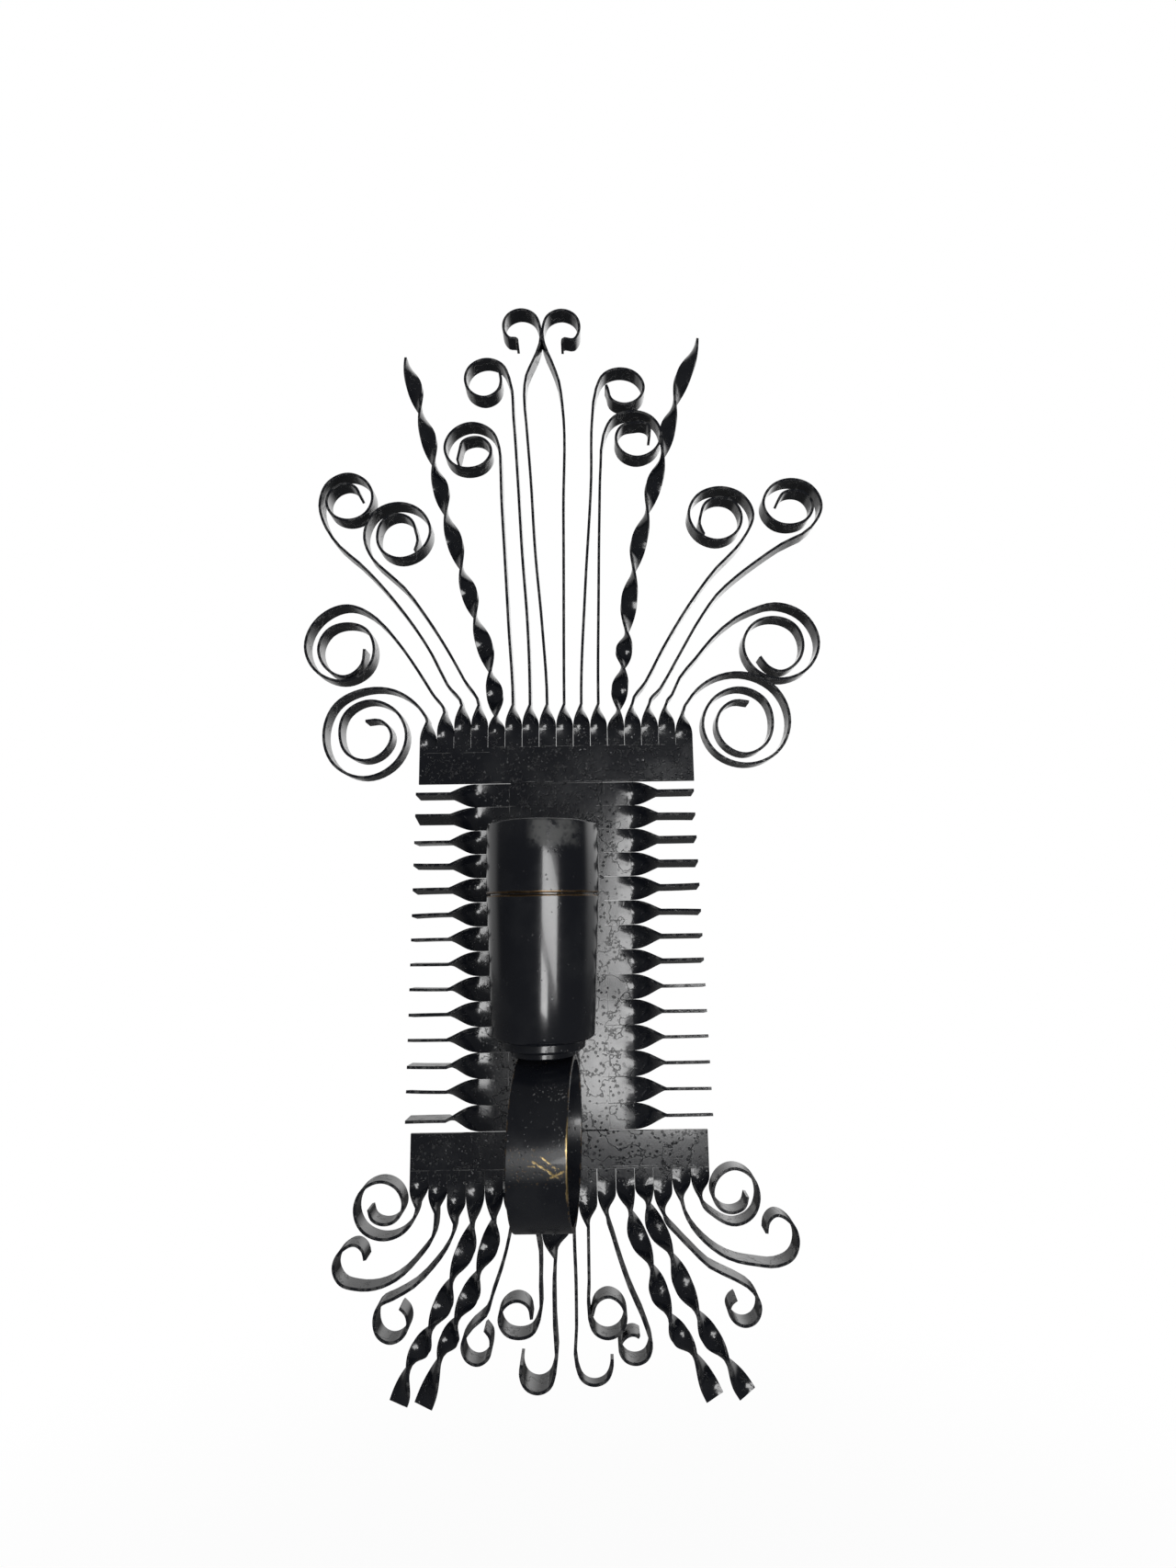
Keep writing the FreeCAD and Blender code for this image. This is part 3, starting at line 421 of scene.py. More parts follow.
crownBars = [
    # number, hand, the places where the bar stands edge-on, and its tip
    (5, 1, [(0.0, 7.0), (-2.5, 27.5), (-9.5, 53.5), (-16.0, 77.0), (-23.5, 104.0), (-29.5, 129.0),
            (-36.5, 156.5), (-44.0, 183.5)]),
    (12, -1, [(1.0, 9.5), (3.5, 29.0), (5.5, 45.0), (9.5, 75.0), (16.5, 104.5), (24.5, 132.5),
              (31.0, 159.5), (43.0, 191.5)]),
]
tailLook = {
    "edge": -71.4, "up": -1, "slit": 14.2, "flat": 25.7, "turn": 8.8, "bar flat": 20.5,
    "bar end": 90, "widths": {7: 7.8, 8: 11.0, 9: 3.7},
}
tailStrips = [
    (1, [(-1.0, -3.7), (-5.0, -8.7)], (-14.0, 0.3), -1, 270, [11.5, 10.5, 9.5, 8.5, 6.0],
     (83, 5.0), [], 18.0),
    (2, [(-1.0, -8.7), (-6.5, -16.2), (-15.0, -23.7), (-23.0, -26.7)], (-31.0, -19.2), -1, 270,
     [7.5, 8.5, 8.0], (55, 4.5), [], 20.0),
    (3, [(-3.0, -8.7), (-8.0, -15.2), (-15.5, -22.2), (-23.0, -26.2), (-29.0, -29.2)],
     (-24.0, -34.7), 1, 180, [6.5, 7.0, 6.5], (57, 6.0), [], 24.0),
    (6, [(-1.0, -6.7), (-4.0, -18.2), (-7.5, -27.7), (-10.0, -34.7), (-15.0, -38.7)],
     (-13.0, -45.7), 1, 180, [6.0, 6.0, 5.0], (66, 6.5), [], 22.0),
    (7, [(2.5, -6.2), (3.5, -24.7)], (-5.0, -36.2), -1, 0, [8.0, 6.5, 7.5, 6.5, 5.0], (0, 0),
     [], 22.0),
    (8, [(-0.5, -6.7), (-0.5, -23.7)], (-7.0, -40.2), -1, 0, [6.5, 6.5, 6.5], (28, 7.0), [], 36.0),
    (9, [(0.0, -4.0), (0.5, -21.0), (0.5, -37.0)], (7.5, -50.0), 1, 180, [7.0, 6.5, 6.5],
     (20, 7.0), [], None),
    (10, [(0.0, -7.0), (0.0, -21.5)], (7.0, -32.5), 1, 180, [7.0, 7.0, 7.0, 7.5], (81, 6.0),
     [], None),
    (11, [(2.0, -7.2), (8.0, -25.2), (14.5, -40.2)], (10.0, -46.7), -1, 0,
     [6.0, 5.5, 6.0, 4.5], (23, 4.0), [], 22.0),
    (14, [(5.5, -7.7), (10.0, -12.2), (17.0, -18.7), (26.5, -23.2), (33.5, -27.7)],
     (30.0, -33.7), -1, 0, [6.0, 6.0, 6.0], (48, 4.5), [], 22.0),
    (15, [(1.5, -5.2), (8.0, -13.7), (17.0, -19.7), (28.0, -22.2)], (36.0, -13.7), 1, 270,
     [9.0, 8.5, 9.0], (54, 4.5), [], 18.0),
    (16, [(5.0, -5.7)], (13.0, 1.8), 1, 270, [10.5, 9.5, 10.0, 8.5, 6.0], (85, 5.0), [], 17.0),
]
tailBars = [
    (4, 1, [(-0.5, -13.0), (-8.5, -34.0), (-16.5, -51.5), (-24.5, -64.5), (-28.5, -76.5)]),
    (5, 1, [(0.5, -11.5), (-5.5, -31.5), (-14.0, -48.5), (-20.0, -61.5), (-26.5, -77.5)]),
    (12, -1, [(1.5, -10.0), (9.5, -30.5), (16.0, -48.5), (25.5, -62.5), (32.5, -76.0)]),
    (13, -1, [(1.0, -7.0), (10.0, -26.5), (19.5, -47.5), (30.5, -64.5), (37.5, -75.0)]),
]


def stripPlaces(own):
    widths = [own.get(k + 1, leafLook["pitch"]) for k in range(leafLook["strips"])]
    x = -sum(widths) / 2
    places = []
    for width in widths:
        places.append((x + width / 2, width - sheetLook["gap"]))
        x += width
    return places


def lengthsOf(poses):
    lengths = [0.0]
    for a, b in zip(poses, poses[1:]):
        lengths.append(lengths[-1] + (b.translation - a.translation).length / mm)
    return lengths


def curledPoses(low, way, row, look):
    _, stem, eye, turn, start, radii, tail, bent, _ = row
    poses = quarterPoses(low, way, axisX, look["turn"])
    top = low + way * look["turn"]
    flatPoints = stem + scrollPoints(eye, turn, start, radii, tail) + bent
    points = [top] + [top + Vector((a, 0, b)) for a, b in flatPoints]
    for place, direction in curvePoints(points, way)[1:]:
        poses.append(poseAt(place, direction, axisY))
    return poses


def twistedPoses(low, way, row, look):   # half a turn from one place to the next
    _, hand, places = row
    rows = sheetLook["twist rows"]
    points = [low] + [low + Vector((a, 0, b)) for a, b in places]
    poses = []
    for k, (place, direction) in enumerate(curvePoints(points, way, rows)[1:], 1):
        span = min(k // rows, len(places) - 1)
        begun = 180 * span - 90 if span else 0
        isLast = span == len(places) - 1
        more = 90 if span == 0 else look["bar end"] if isLast else 180
        angle = hand * math.radians(begun + more * (k / rows - span))
        across = axisY.cross(direction) if direction.z > 0 else direction.cross(axisY)
        side = across * math.cos(angle) + axisY * math.sin(angle)
        poses.append(poseAt(place, direction, side))
    return poses


def makeLeaf(name, node, look, strips, bars, material, seed):   # crown or tail sheet
    bm = startSheet()
    way = axisZ * look["up"]
    centre = Vector((0, sheetLook["leaf y"], look["edge"]))
    places = stripPlaces(look["widths"])
    spans = [(place, width, sheetLook["across"]) for place, width in places]
    last = combBase(bm, centre, way, axisX, spans, look["slit"])
    slit = centre + way * look["slit"]
    for row in strips + bars:
        isBar = len(row) == 3
        flat = look["bar flat"] if isBar else (row[-1] or look["flat"])
        place, width = places[row[0] - 1]
        low = centre + way * flat + axisX * place
        poses = [poseAt(slit + axisX * place, way, axisX)]
        if flat - look["slit"] > leafLook["long flat"]:
            poses.append(poseAt((slit + axisX * place + low) / 2, way, axisX))
        poses.append(poseAt(low, way, axisX))
        poses += (twistedPoses if isBar else curledPoses)(low, way, row, look)
        drawStrip(bm, rowOf(last, slit, axisX, place, width), poses, lengthsOf(poses))
    settle(bm, seed)
    finishPiece(bm, name, node, material, sheetLook["bevel"], sheetLook["thick"])


spineLook = {
    "pitch": 10.2, "count": 14, "slit": 20.0, "right flat": 30.5, "left flat": 32.5,
    "turn": 13.0, "tab": 14.0, "sway": 0.9, "blade rows": 5,
    # from the top finger down: last angle from flat and reach, right and left
    "right turn": [86, 84, 82, 80, 81, 81, 82, 80, 83, 81, 80, 78, 77, 76],
    "left turn": [85, 74, 89, 84, 82, 85, 86, 88, 87, 81, 80, 86, 78, 87],
    "right reach": (59.2, 61.9), "left reach": (60.4, 61.6),
}


def fingerPoses(root, way, across, hand, side, number):   # number counts from the top
    look = spineLook
    flat = look[hand + " flat"]
    turn = look[hand + " turn"][number]
    near, far = look[hand + " reach"]
    length = near + (far - near) * number / (look["count"] - 1) - flat - look["turn"]
    low = root + way * (flat - look["slit"])
    poses = [poseAt(place, way, across) for place in (root, (root + low) / 2, low)]
    poses += quarterPoses(low, way, across, look["turn"], turn, -side)
    angle = math.radians(turn) * -side
    blade = across * math.cos(angle) + axisY * math.sin(angle)
    start = low + way * look["turn"]
    own = Vector((number * 3.7, side * 9.1, 0))   # far apart, so each finger has its own sway
    sway = noise.noise(own) * look["sway"]
    for k in range(1, look["blade rows"] + 1):
        f = k / look["blade rows"]
        poses.append(poseAt(start + way * (length * f) + axisZ * (sway * f * f), way, blade))
    return poses


def makeHalfSpine(hand, side):
    look = spineLook
    bm = startSheet()
    half = look["pitch"] * look["count"] / 2
    centre = Vector((0, sheetLook["spine y"], 0))
    way = axisX * side
    across = axisZ * side
    tab = (look["tab"] - sheetLook["gap"], 2)
    fingers = [(-half + (k + 0.5) * look["pitch"], look["pitch"] - sheetLook["gap"],
                sheetLook["across"]) for k in range(look["count"])]
    spans = [(-half - look["tab"] / 2, *tab), *fingers, (half + look["tab"] / 2, *tab)]
    last = combBase(bm, centre, way, across, spans, look["slit"])
    slit = centre + way * look["slit"]
    for k, (place, width, _) in enumerate(fingers):
        number = look["count"] - 1 - k if side > 0 else k
        poses = fingerPoses(slit + across * place, way, across, hand, side, number)
        drawStrip(bm, rowOf(last, slit, across, place, width), poses, lengthsOf(poses))
    mesh = bpy.data.meshes.new("halfSpine")
    bm.to_mesh(mesh)
    bm.free()
    return mesh


def makeSpine(material):
    bm = startSheet()
    for hand, side in (("right", 1), ("left", -1)):
        mesh = makeHalfSpine(hand, side)
        bm.from_mesh(mesh)
        bpy.data.meshes.remove(mesh)
    settle(bm, 3.0)
    finishPiece(bm, "spineSheet", "spine_plate", material, sheetLook["bevel"],
                sheetLook["thick"])


# wear of the sheets: bare cut edges, scribed lines left by the maker, and chips
sheetWearLook = {
    "edge": 0.25, "scribe": 0.35, "scribe half": 0.05, "chip": 0.7, "chip pitch": 5.0,
    "chip shade": (0.12, 0.12, 0.125),
}


def stripEdges(graph, spot):
    edge = graph.ease(abs(graph.mark("across")), 0.97, 1.0)
    edge = edge * graph.ease(graph.mark("along"), 0.5, 2.0)
    return edge * graph.ease(graph.grain(spot, 2.2, 4.0), 0.48, 0.62)


def scribed(graph, spot, lines):   # rows of the axis it crosses, place there, and its two ends
    x, _, z = graph.parts(spot)
    wander = (graph.grain(spot, 9.0, 2.0) - 0.5) * 0.5
    total = 0.0
    for axis, place, low, high in lines:
        along, other = (x, z) if axis == "z" else (z, x)
        line = graph.near(other + wander, place, sheetWearLook["scribe half"], 0.12)
        span = graph.near(along, (low + high) / 2, (high - low) / 2, 0.5)
        total = line * span + total
    return total * graph.ease(graph.grain(spot, 4.0, 4.0), 0.42, 0.6)


def sheetWear(lines):
    look = sheetWearLook

    def wear(graph, spot):
        chips = graph.ease(graph.dots(spot, look["chip pitch"]), 0.05, 0.09, 1.0, 0.0)
        chips = chips * graph.ease(graph.grain(spot, 8.0, 2.0), 0.52, 0.6)
        return [(stripEdges(graph, spot) * look["edge"], paintLook["steel"], 0.7, 0.4),
                (scribed(graph, spot, lines) * look["scribe"], paintLook["steel"], 0.5, 0.45),
                (chips * look["chip"], look["chip shade"], 0.3, 0.5)]
    return wear


# hoop: a flat strip of brass bent round, blackened and rubbed bare where hands reach it
hoopLook = {
    "radius": 29.5, "thick": 2.0, "width": 20.5, "centre": (-40.7, -66.0), "back x": -1.0,
    "skew": 4.2, "segments": 120, "across": 8, "bevel": 0.35, "swell": 0.12,
    "swells a metre": 45,
    # wear on its front, and a band of painted sheen across its middle: bands at a height with half
    # a width, a place in x and z, and lines with two ends and half a width
    "front y": (-58.0, -62.0), "edge rubbed": (-64.5, 9.5), "paintedSheen": (-65.5, 3.0),
    "tarnished": (-66.0, 4.0), "scuffed": (-1.0, -43.5),
    "scrape": ((0.2, -65.6), (4.6, -67.6), 0.9),
    "scratches": [((-6.4, -64.0), (2.6, -69.6), 0.14), ((-3.6, -62.8), (1.4, -66.6), 0.05),
                  ((-7.8, -65.2), (-3.4, -66.0), 0.05), ((-1.0, -69.2), (4.2, -67.4), 0.08)],
    # the next colour is the painted sheen's grey, lighter than the black paint
    "paintedSheen shade": (0.022, 0.024, 0.027), "scuff shade": (0.2, 0.2, 0.2),
}


def makeHoop(material):
    look = hoopLook
    bm = startSheet()
    centre = Vector((0, look["centre"][0], look["centre"][1]))
    top = centre + axisZ * (look["radius"] - look["thick"] / 2)
    rootRow(bm, [(0.0, look["width"], look["across"])], top, axisX)
    bmesh.ops.spin(bm, geom=list(bm.verts) + list(bm.edges), cent=centre * mm, axis=axisX,
                   angle=math.tau, steps=look["segments"], use_merge=True)
    for vert in bm.verts:
        depth = look["centre"][0] + look["radius"] - vert.co.y / mm
        vert.co.x += (look["back x"] - look["skew"] * depth / (2 * look["radius"])) * mm
        spot = vert.co - centre * mm
        swell = noise.noise(vert.co * look["swells a metre"]) * look["swell"]
        vert.co += Vector((0, spot.y, spot.z)).normalized() * swell * mm
    finishPiece(bm, "hoopBand", "hoop", material, look["bevel"], look["thick"])


def strokeMask(graph, x, z, start, end, width):   # 1 on a line between two points
    dx, dz = end[0] - start[0], end[1] - start[1]
    length = math.hypot(dx, dz)
    ux, uz = dx / length, dz / length
    run = (x - start[0]) * ux + (z - start[1]) * uz
    off = (x - start[0]) * -uz + (z - start[1]) * ux
    inside = graph.near(run, length / 2, length / 2 - 1.0, 1.5)
    return graph.near(off, 0.0, width, 0.35) * inside


def hoopWearAndSheen(graph, spot):
    look = hoopLook
    x, y, z = graph.parts(spot)
    across = graph.mark("across")
    rough = graph.grain(spot, 3.0, 5.0, 0.65)
    front = graph.ease(y, *look["front y"])
    rubbed = graph.near(z, *look["edge rubbed"], 4.0) * front
    edgeRight = graph.ease(across + rough * 0.16, 1.0, 1.06) * rubbed
    anyEdge = graph.ease(abs(across) + rough * 0.08, 0.985, 1.03) * graph.ease(rough, 0.5, 0.6)
    stroke = 0.0
    for start, end, width in look["scratches"]:
        stroke = strokeMask(graph, x, z + (rough - 0.5) * 2.0, start, end, width) + stroke
    stroke = stroke.least(1.0) * front * graph.ease(graph.grain(spot, 1.4, 3.0), 0.38, 0.55)
    scrape = strokeMask(graph, x, z + (rough - 0.5) * 3.0, *look["scrape"])
    flecks = graph.ease(graph.grain(spot, 0.9, 2.0), 0.6, 0.66)
    scuffX, scuffZ = look["scuffed"]
    scuffs = graph.near(z, scuffZ, 2.4, 2.0) * graph.near(x, scuffX, 4.5, 2.0) * front
    # painted sheen: a lighter, rougher band across the hoop's front-most height, standing in for
    # the window's reflection there
    paintedSheen = graph.near(z, *look["paintedSheen"], 3.0) * front
    tarnished = graph.near(z, *look["tarnished"], 3.0) * flecks * front
    return [(paintedSheen * 0.55, look["paintedSheen shade"], 0.0, 0.42),
            (scuffs * flecks, look["scuff shade"], 0.5, 0.4),
            (tarnished * 0.5, paintLook["tarnish"], 0.6, 0.4),
            (anyEdge * 0.5, paintLook["tarnish"], 0.8, 0.35),
            (edgeRight, paintLook["brass"], 1.0, 0.3),
            (stroke.most(scrape * front * flecks), paintLook["brass"], 1.0, 0.32)]


# holder: turned pieces, with profiles of radius and height in millimetres
holderLook = {
    "axis": (-4.2, -40.7), "bore": 5.05, "segments": 128, "wall": 1.2,
    "collar r": 12.0, "collar": 3.0, "neck r": 15.6, "neck": 3.5,
    "cup r": 21.6, "foot r": 17.3, "foot round": 1.9, "seam": 22.3, "thread r": 20.25,
    "thread": 6.0, "boss r": 8.0, "boss": 9.0,
    "cup outside": [(19.9, 15.0), (20.6, 30.6), (21.1, 41.0)],   # heights from its foot
    "cup inside": [(19.4, 30.6), (18.0, 2.6), (16.6, 1.6), (8.0, 1.6)],
    "sleeve r": 21.75, "gap": 0.7, "rim": 50.0, "mouth r": 17.2, "lip": 1.4,
    # a rough grey cloud of smudge at x and z, and brass lines by the seam: height from it and half
    # a width
    "cloud": (1.0, 46.0), "cloud shade": (0.035, 0.037, 0.039),
    "bubble shade": (0.11, 0.11, 0.105), "rim shade": (0.1, 0.1, 0.1),
    "line above": (1.05, 0.28), "line below": (-0.15, 0.26),
}


def turnedPiece(name, profile, node, material, bevel):
    bm = bmesh.new()
    cx, cy = holderLook["axis"]
    verts = [bm.verts.new(Vector((cx + r, cy, z)) * mm) for r, z in profile]
    edges = [bm.edges.new(pair) for pair in zip(verts, verts[1:] + verts[:1])]
    bmesh.ops.spin(bm, geom=verts + edges, cent=Vector((cx, cy, 0)) * mm, axis=axisZ,
                   angle=math.tau, steps=holderLook["segments"], use_merge=True)
    finishPiece(bm, name, node, material, bevel, angle=25)


def roundProfile(centre, radius, start, end, steps):
    points = []
    for k in range(steps + 1):
        angle = math.radians(start + (end - start) * k / steps)
        points.append((centre[0] + radius * math.cos(angle), centre[1] + radius * math.sin(angle)))
    return points


def makeHolder(paint, cupPaint):
    look = holderLook
    bore = look["bore"]
    wall = look["wall"]
    low = hoopLook["centre"][1] + hoopLook["radius"]
    base = low + look["collar"]
    foot = base + look["neck"]
    r = look["collar r"]
    collar = [(bore, low), (r - 1.4, low), (r, low + 0.6), (r, base - 0.6), (r - 1.0, base),
              (bore, base)]
    turnedPiece("collarNut", collar, "collar_nut", paint, 0.25)
    r = look["neck r"]
    neck = [(bore, base), (r - 0.5, base), (r, base + 0.5), (r, foot - 0.5), (r - 0.5, foot),
            (bore, foot)]
    turnedPiece("neckRing", neck, "neck_ring", paint, 0.25)
    seam = look["seam"]
    r = look["cup r"]
    outer = look["thread r"]
    inner = outer - wall
    turn = look["foot round"]
    cup = [(bore, foot), (look["foot r"] - 0.1, foot)]
    cup += roundProfile((look["foot r"], foot + turn), turn, -90, -8, 6)
    cup += [(size, foot + height) for size, height in look["cup outside"]]
    cup += [(r, seam - 0.25), (r - 0.15, seam), (outer, seam), (outer, seam + look["thread"]),
            (inner, seam + look["thread"]), (inner, seam - wall)]
    cup += [(size, foot + height) for size, height in look["cup inside"]]
    cup += [(look["boss r"], foot + look["boss"]), (bore, foot + look["boss"])]
    turnedPiece("holderCup", cup, "holder_cup", cupPaint, 0.12)
    start = seam + look["gap"]
    r = look["sleeve r"]
    rim = look["rim"]
    mouth = look["mouth r"]
    sleeve = [(r - wall, start), (r - 0.25, start), (r, start + 0.25), (r, start + 13.0)]
    sleeve += roundProfile((r - wall, rim - wall), wall, 0, 90, 6)
    sleeve += [(mouth + 0.7, rim), (mouth + 0.15, rim - 0.35), (mouth, rim - 0.9),
               (mouth + 0.25, rim - look["lip"]), (r - wall, rim - look["lip"])]
    turnedPiece("holderSleeve", sleeve, "holder_sleeve", cupPaint, 0.08)


def holderWear(graph, spot):
    look = holderLook
    x, y, z = graph.parts(spot)
    uneven = graph.grain(spot, 4.0, 4.0)
    line = 0.0
    for above, half in (look["line above"], look["line below"]):
        edge = graph.near(z + (uneven - 0.5) * 0.5, look["seam"] + above, half, 0.2)
        line = edge.most(line)
    line = line * graph.ease(graph.grain(spot, 7.0, 3.0), 0.3, 0.55, 0.25, 1.0)
    rim = graph.ease(z, look["rim"] - 0.5, look["rim"] - 0.1)
    cloudX, cloudZ = look["cloud"]
    cloud = graph.near(x, cloudX, 5.0, 6.0) * graph.near(z, cloudZ, 3.0, 5.0)
    cloud = cloud * graph.ease(y, -52.0, -56.0)
    cloud = cloud * graph.ease(graph.grain(spot, 4.0, 5.0), 0.3, 0.6)
    bubbles = graph.ease(graph.dots(spot, 2.2), 0.18, 0.42)
    return [(cloud * 0.9, look["cloud shade"], 0.0, 0.6),
            (cloud * bubbles * 0.35, look["bubble shade"], 0.1, 0.6),
            (rim * graph.ease(uneven, 0.45, 0.6) * 0.6, look["rim shade"], 0.5, 0.35),
            (line, paintLook["tarnish"], 1.0, 0.3)]


def plainWear(graph, spot):
    chips = graph.ease(graph.dots(spot, 4.0), 0.04, 0.08, 1.0, 0.0)
    chips = chips * graph.ease(graph.grain(spot, 8.0, 2.0), 0.5, 0.6)
    return [(chips * 0.6, (0.1, 0.09, 0.08), 0.3, 0.5)]


# metals, china, rubber and plastic
def bareMetal(name, colour, dark, rough, brushed=(1, 1, 1)):
    material, graph = newMaterial(name)
    streak = graph.grain(graph.place(brushed), 0.4, 3.0)
    stain = graph.ease(graph.grain(graph.place(), 5.0, 4.0), 0.4, 0.7)
    graph.finish(Base_Color=graph.blend(stain * 0.6, colour, dark), Metallic=1.0,
                 Roughness=rough + stain * 0.14 + streak * 0.08,
                 Normal=graph.bump(streak, 0.01 * mm, 0.6))
    return material


def glazed(name, colour, stainColour):
    material, graph = newMaterial(name)
    spot = graph.place()
    stain = graph.ease(graph.grain(spot, 6.0, 5.0), 0.5, 0.75)
    specks = graph.ease(graph.dots(spot, 2.6), 0.04, 0.09, 1.0, 0.0)
    graph.finish(Base_Color=graph.blend(stain * 0.5 + specks * 0.4, colour, stainColour),
                 Roughness=0.16 + stain * 0.12, Coat_Weight=0.4, Coat_Roughness=0.06,
                 Normal=graph.bump(graph.grain(spot, 1.5, 2.0), 0.02 * mm, 0.5))
    return material


def mattStuff(name, colour, dust):
    material, graph = newMaterial(name)
    spot = graph.place()
    cloud = graph.ease(graph.grain(spot, 1.6, 4.0), 0.4, 0.7)
    graph.finish(Base_Color=graph.blend(cloud * 0.5, colour, dust),
                 Roughness=0.62 + cloud * 0.15,
                 Normal=graph.bump(graph.grain(spot, 0.35, 2.0), 0.02 * mm, 0.6))
    return material


smallLook = {"bevel": 0.12, "flat within": 1.5, "angle": 30}


def dressNode(node, name, material):   # softened copy of a small piece
    bm = bmesh.new()
    bm.from_mesh(frame["nodes"][node].data)
    bmesh.ops.remove_doubles(bm, verts=bm.verts, dist=0.001 * mm)
    bmesh.ops.dissolve_limit(bm, angle_limit=math.radians(smallLook["flat within"]),
                             verts=bm.verts, edges=bm.edges)
    finishPiece(bm, name, node, material, smallLook["bevel"], angle=smallLook["angle"])


# screw shell: thin brass with a rolled thread
shellLook = {
    "foot": 20.0, "floor r": 10.0, "radius": 13.4, "thick": 0.4, "corner": (0.5, 0.9),
    "plain": 2.2, "pitch": 3.63, "turns": 6, "wave": 0.45, "fade": 2.5, "segments": 96,
    "rows": 10,
}


def makeShell(material):
    look = shellLook
    bm = bmesh.new()
    cx, cy = holderLook["axis"]
    half = look["thick"] / 2
    place = Matrix.Translation(Vector((cx, cy, look["foot"] + half)) * mm)
    bmesh.ops.create_circle(bm, segments=look["segments"], radius=look["floor r"] * mm,
                            matrix=place)
    edges = list(bm.edges)
    total = look["pitch"] * look["turns"]
    count = look["rows"] * look["turns"]
    inset, corner = look["corner"]
    rows = [(look["radius"] - inset, half), (look["radius"], corner)]
    rows += [(look["radius"], look["plain"] + total * k / count) for k in range(count + 1)]
    for radius, height in rows:
        made = bmesh.ops.extrude_edge_only(bm, edges=edges)["geom"]
        edges = [g for g in made if isinstance(g, bmesh.types.BMEdge)]
        rise = height - look["plain"]
        fade = max(0.0, min(1.0, rise / look["fade"], (total - rise) / look["fade"]))
        for vert in [g for g in made if isinstance(g, bmesh.types.BMVert)]:
            spot = Vector((vert.co.x - cx * mm, vert.co.y - cy * mm, 0))
            turn = math.atan2(spot.y, spot.x)
            wave = look["wave"] * math.sin(math.tau * rise / look["pitch"] - turn) * fade
            spot = spot.normalized() * (radius - wave)
            vert.co = Vector((cx + spot.x, cy + spot.y, look["foot"] + height)) * mm
    finishPiece(bm, "screwShell", "screw_shell", material, 0.05, look["thick"], 60)


# scribed lines, in rows for scribed(): "x" rows stand upright and "z" rows lie level
crownLines = [("z", 87.6, -27.0, 60.0), ("z", 85.2, -60.0, -29.0), ("z", 71.9, -30.0, 60.0)]
tailLines = [("z", -85.4, -60.0, 60.0), ("z", -84.6, 10.0, 52.0)]
spineLines = [("x", 20.6, -71.0, 71.0), ("x", -20.6, -71.0, 71.0)]
for k in range(1, spineLook["count"]):   # a short line at each cut between fingers
    height = (k - spineLook["count"] / 2) * spineLook["pitch"]
    spineLines.append(("z", height, 15.5 - 2.0 * math.sin(k * 2.3), 20.2))
    spineLines.append(("z", height + 0.2, -20.2, -15.5 + 1.5 * math.sin(k * 1.7)))

crownFinish = wornPaint("crownPaint", steelPaint, sheetWear(crownLines))
tailFinish = wornPaint("tailPaint", steelPaint, sheetWear(tailLines))
spineFinish = wornPaint("spinePaint", steelPaint, sheetWear(spineLines))
hoopFinishAndSheen = wornPaint("hoopFinishAndSheen", hoopPaint, hoopWearAndSheen)
holderFinish = wornPaint("holderFinish", holderPaint, holderWear)
plainFinish = wornPaint("plainPaint", hoopPaint, plainWear)
brass = bareMetal("agedBrass", (0.62, 0.43, 0.17), (0.2, 0.12, 0.05), 0.28)
zinc = bareMetal("zincPlate", (0.52, 0.53, 0.55), (0.22, 0.22, 0.22), 0.3, (1, 1, 0.1))
china = glazed("glazedChina", (0.8, 0.78, 0.72), (0.36, 0.29, 0.2))
rubber = mattStuff("softRubber", (0.016, 0.016, 0.017), (0.05, 0.048, 0.045))
plastic = mattStuff("bushPlastic", (0.02, 0.02, 0.022), (0.06, 0.058, 0.055))
slotFinish = {"black_steel": plainFinish, "black_brass": plainFinish, "bare_brass": brass,
              "zinc_steel": zinc, "porcelain": china, "rubber": rubber, "bush_plastic": plastic}
print("materials ready")

makeLeaf("crownSheet", "crown_plate", crownLook, crownStrips, crownBars, crownFinish, 1.0)
makeLeaf("tailSheet", "base_plate", tailLook, tailStrips, tailBars, tailFinish, 2.0)
makeSpine(spineFinish)
makeHoop(hoopFinishAndSheen)
makeHolder(plainFinish, holderFinish)
makeShell(brass)
smallPieces = {
    "hoop_packing": "packingPlate", "hoop_screw": "hoopScrew", "hoop_nut": "hoopNut",
    "cable_grommet": "leadGrommet", "wall_strap": "wallStrap", "standoff_sleeves": "standoffs",
    "fixing_screws": "fixingScrews", "earth_washer": "earthWasher", "earth_screw": "earthScrew",
    "nipple_tube": "nippleTube", "nipple_washer": "nippleWasher", "nipple_nut": "nippleNut",
    "nipple_bush": "nippleBush", "grub_screw": "grubScrew", "ceramic_body": "chinaBody",
    "contact_foot": "contactFoot", "contact_tongue": "contactTongue",
    "contact_screws": "contactScrews", "terminal_blocks": "terminalBlocks",
    "terminal_screws": "terminalScrews", "insulating_ring": "chinaRing",
}
for node, name in smallPieces.items():
    dressNode(node, name, slotFinish[slotOf[node]])


# room: pale floor far below, white surroundings, and two windows in front
roomLook = {
    "floor z": -0.75, "floor": 5.0, "plaster": (0.8, 0.8, 0.8),
    "floor fades": (0.8, 1.6), "floor white": 0.93, "glossy floor": 0.08,
    # what glossy surfaces see of the world: below, in front, above and to the left
    "low": 0.27, "front": 0.05, "high": 1.7, "left": 0.3,
    # the world's light on the piece, and the directions between which the world changes
    "fill": 0.45, "horizon": 0.15, "side": 0.45, "behind": (0.05, 0.4), "above": (0.0, 0.3),
    "eye": (0.0137, -0.3308, 0.017), "tilt": 9.5, "roll": 0.85, "lens": 17.13,
    # a window's way and rise, width and height in degrees, and radiance
    "windows": {"windowHigh": (16.5, -1.5, 30.0, 15.0, 9.0),
                "windowLow": (4.5, -13.5, 13.0, 9.0, 11.0)},
    "window distance": 1.3, "window aim": (0, -0.02, 0), "window roll": -12.0,
}


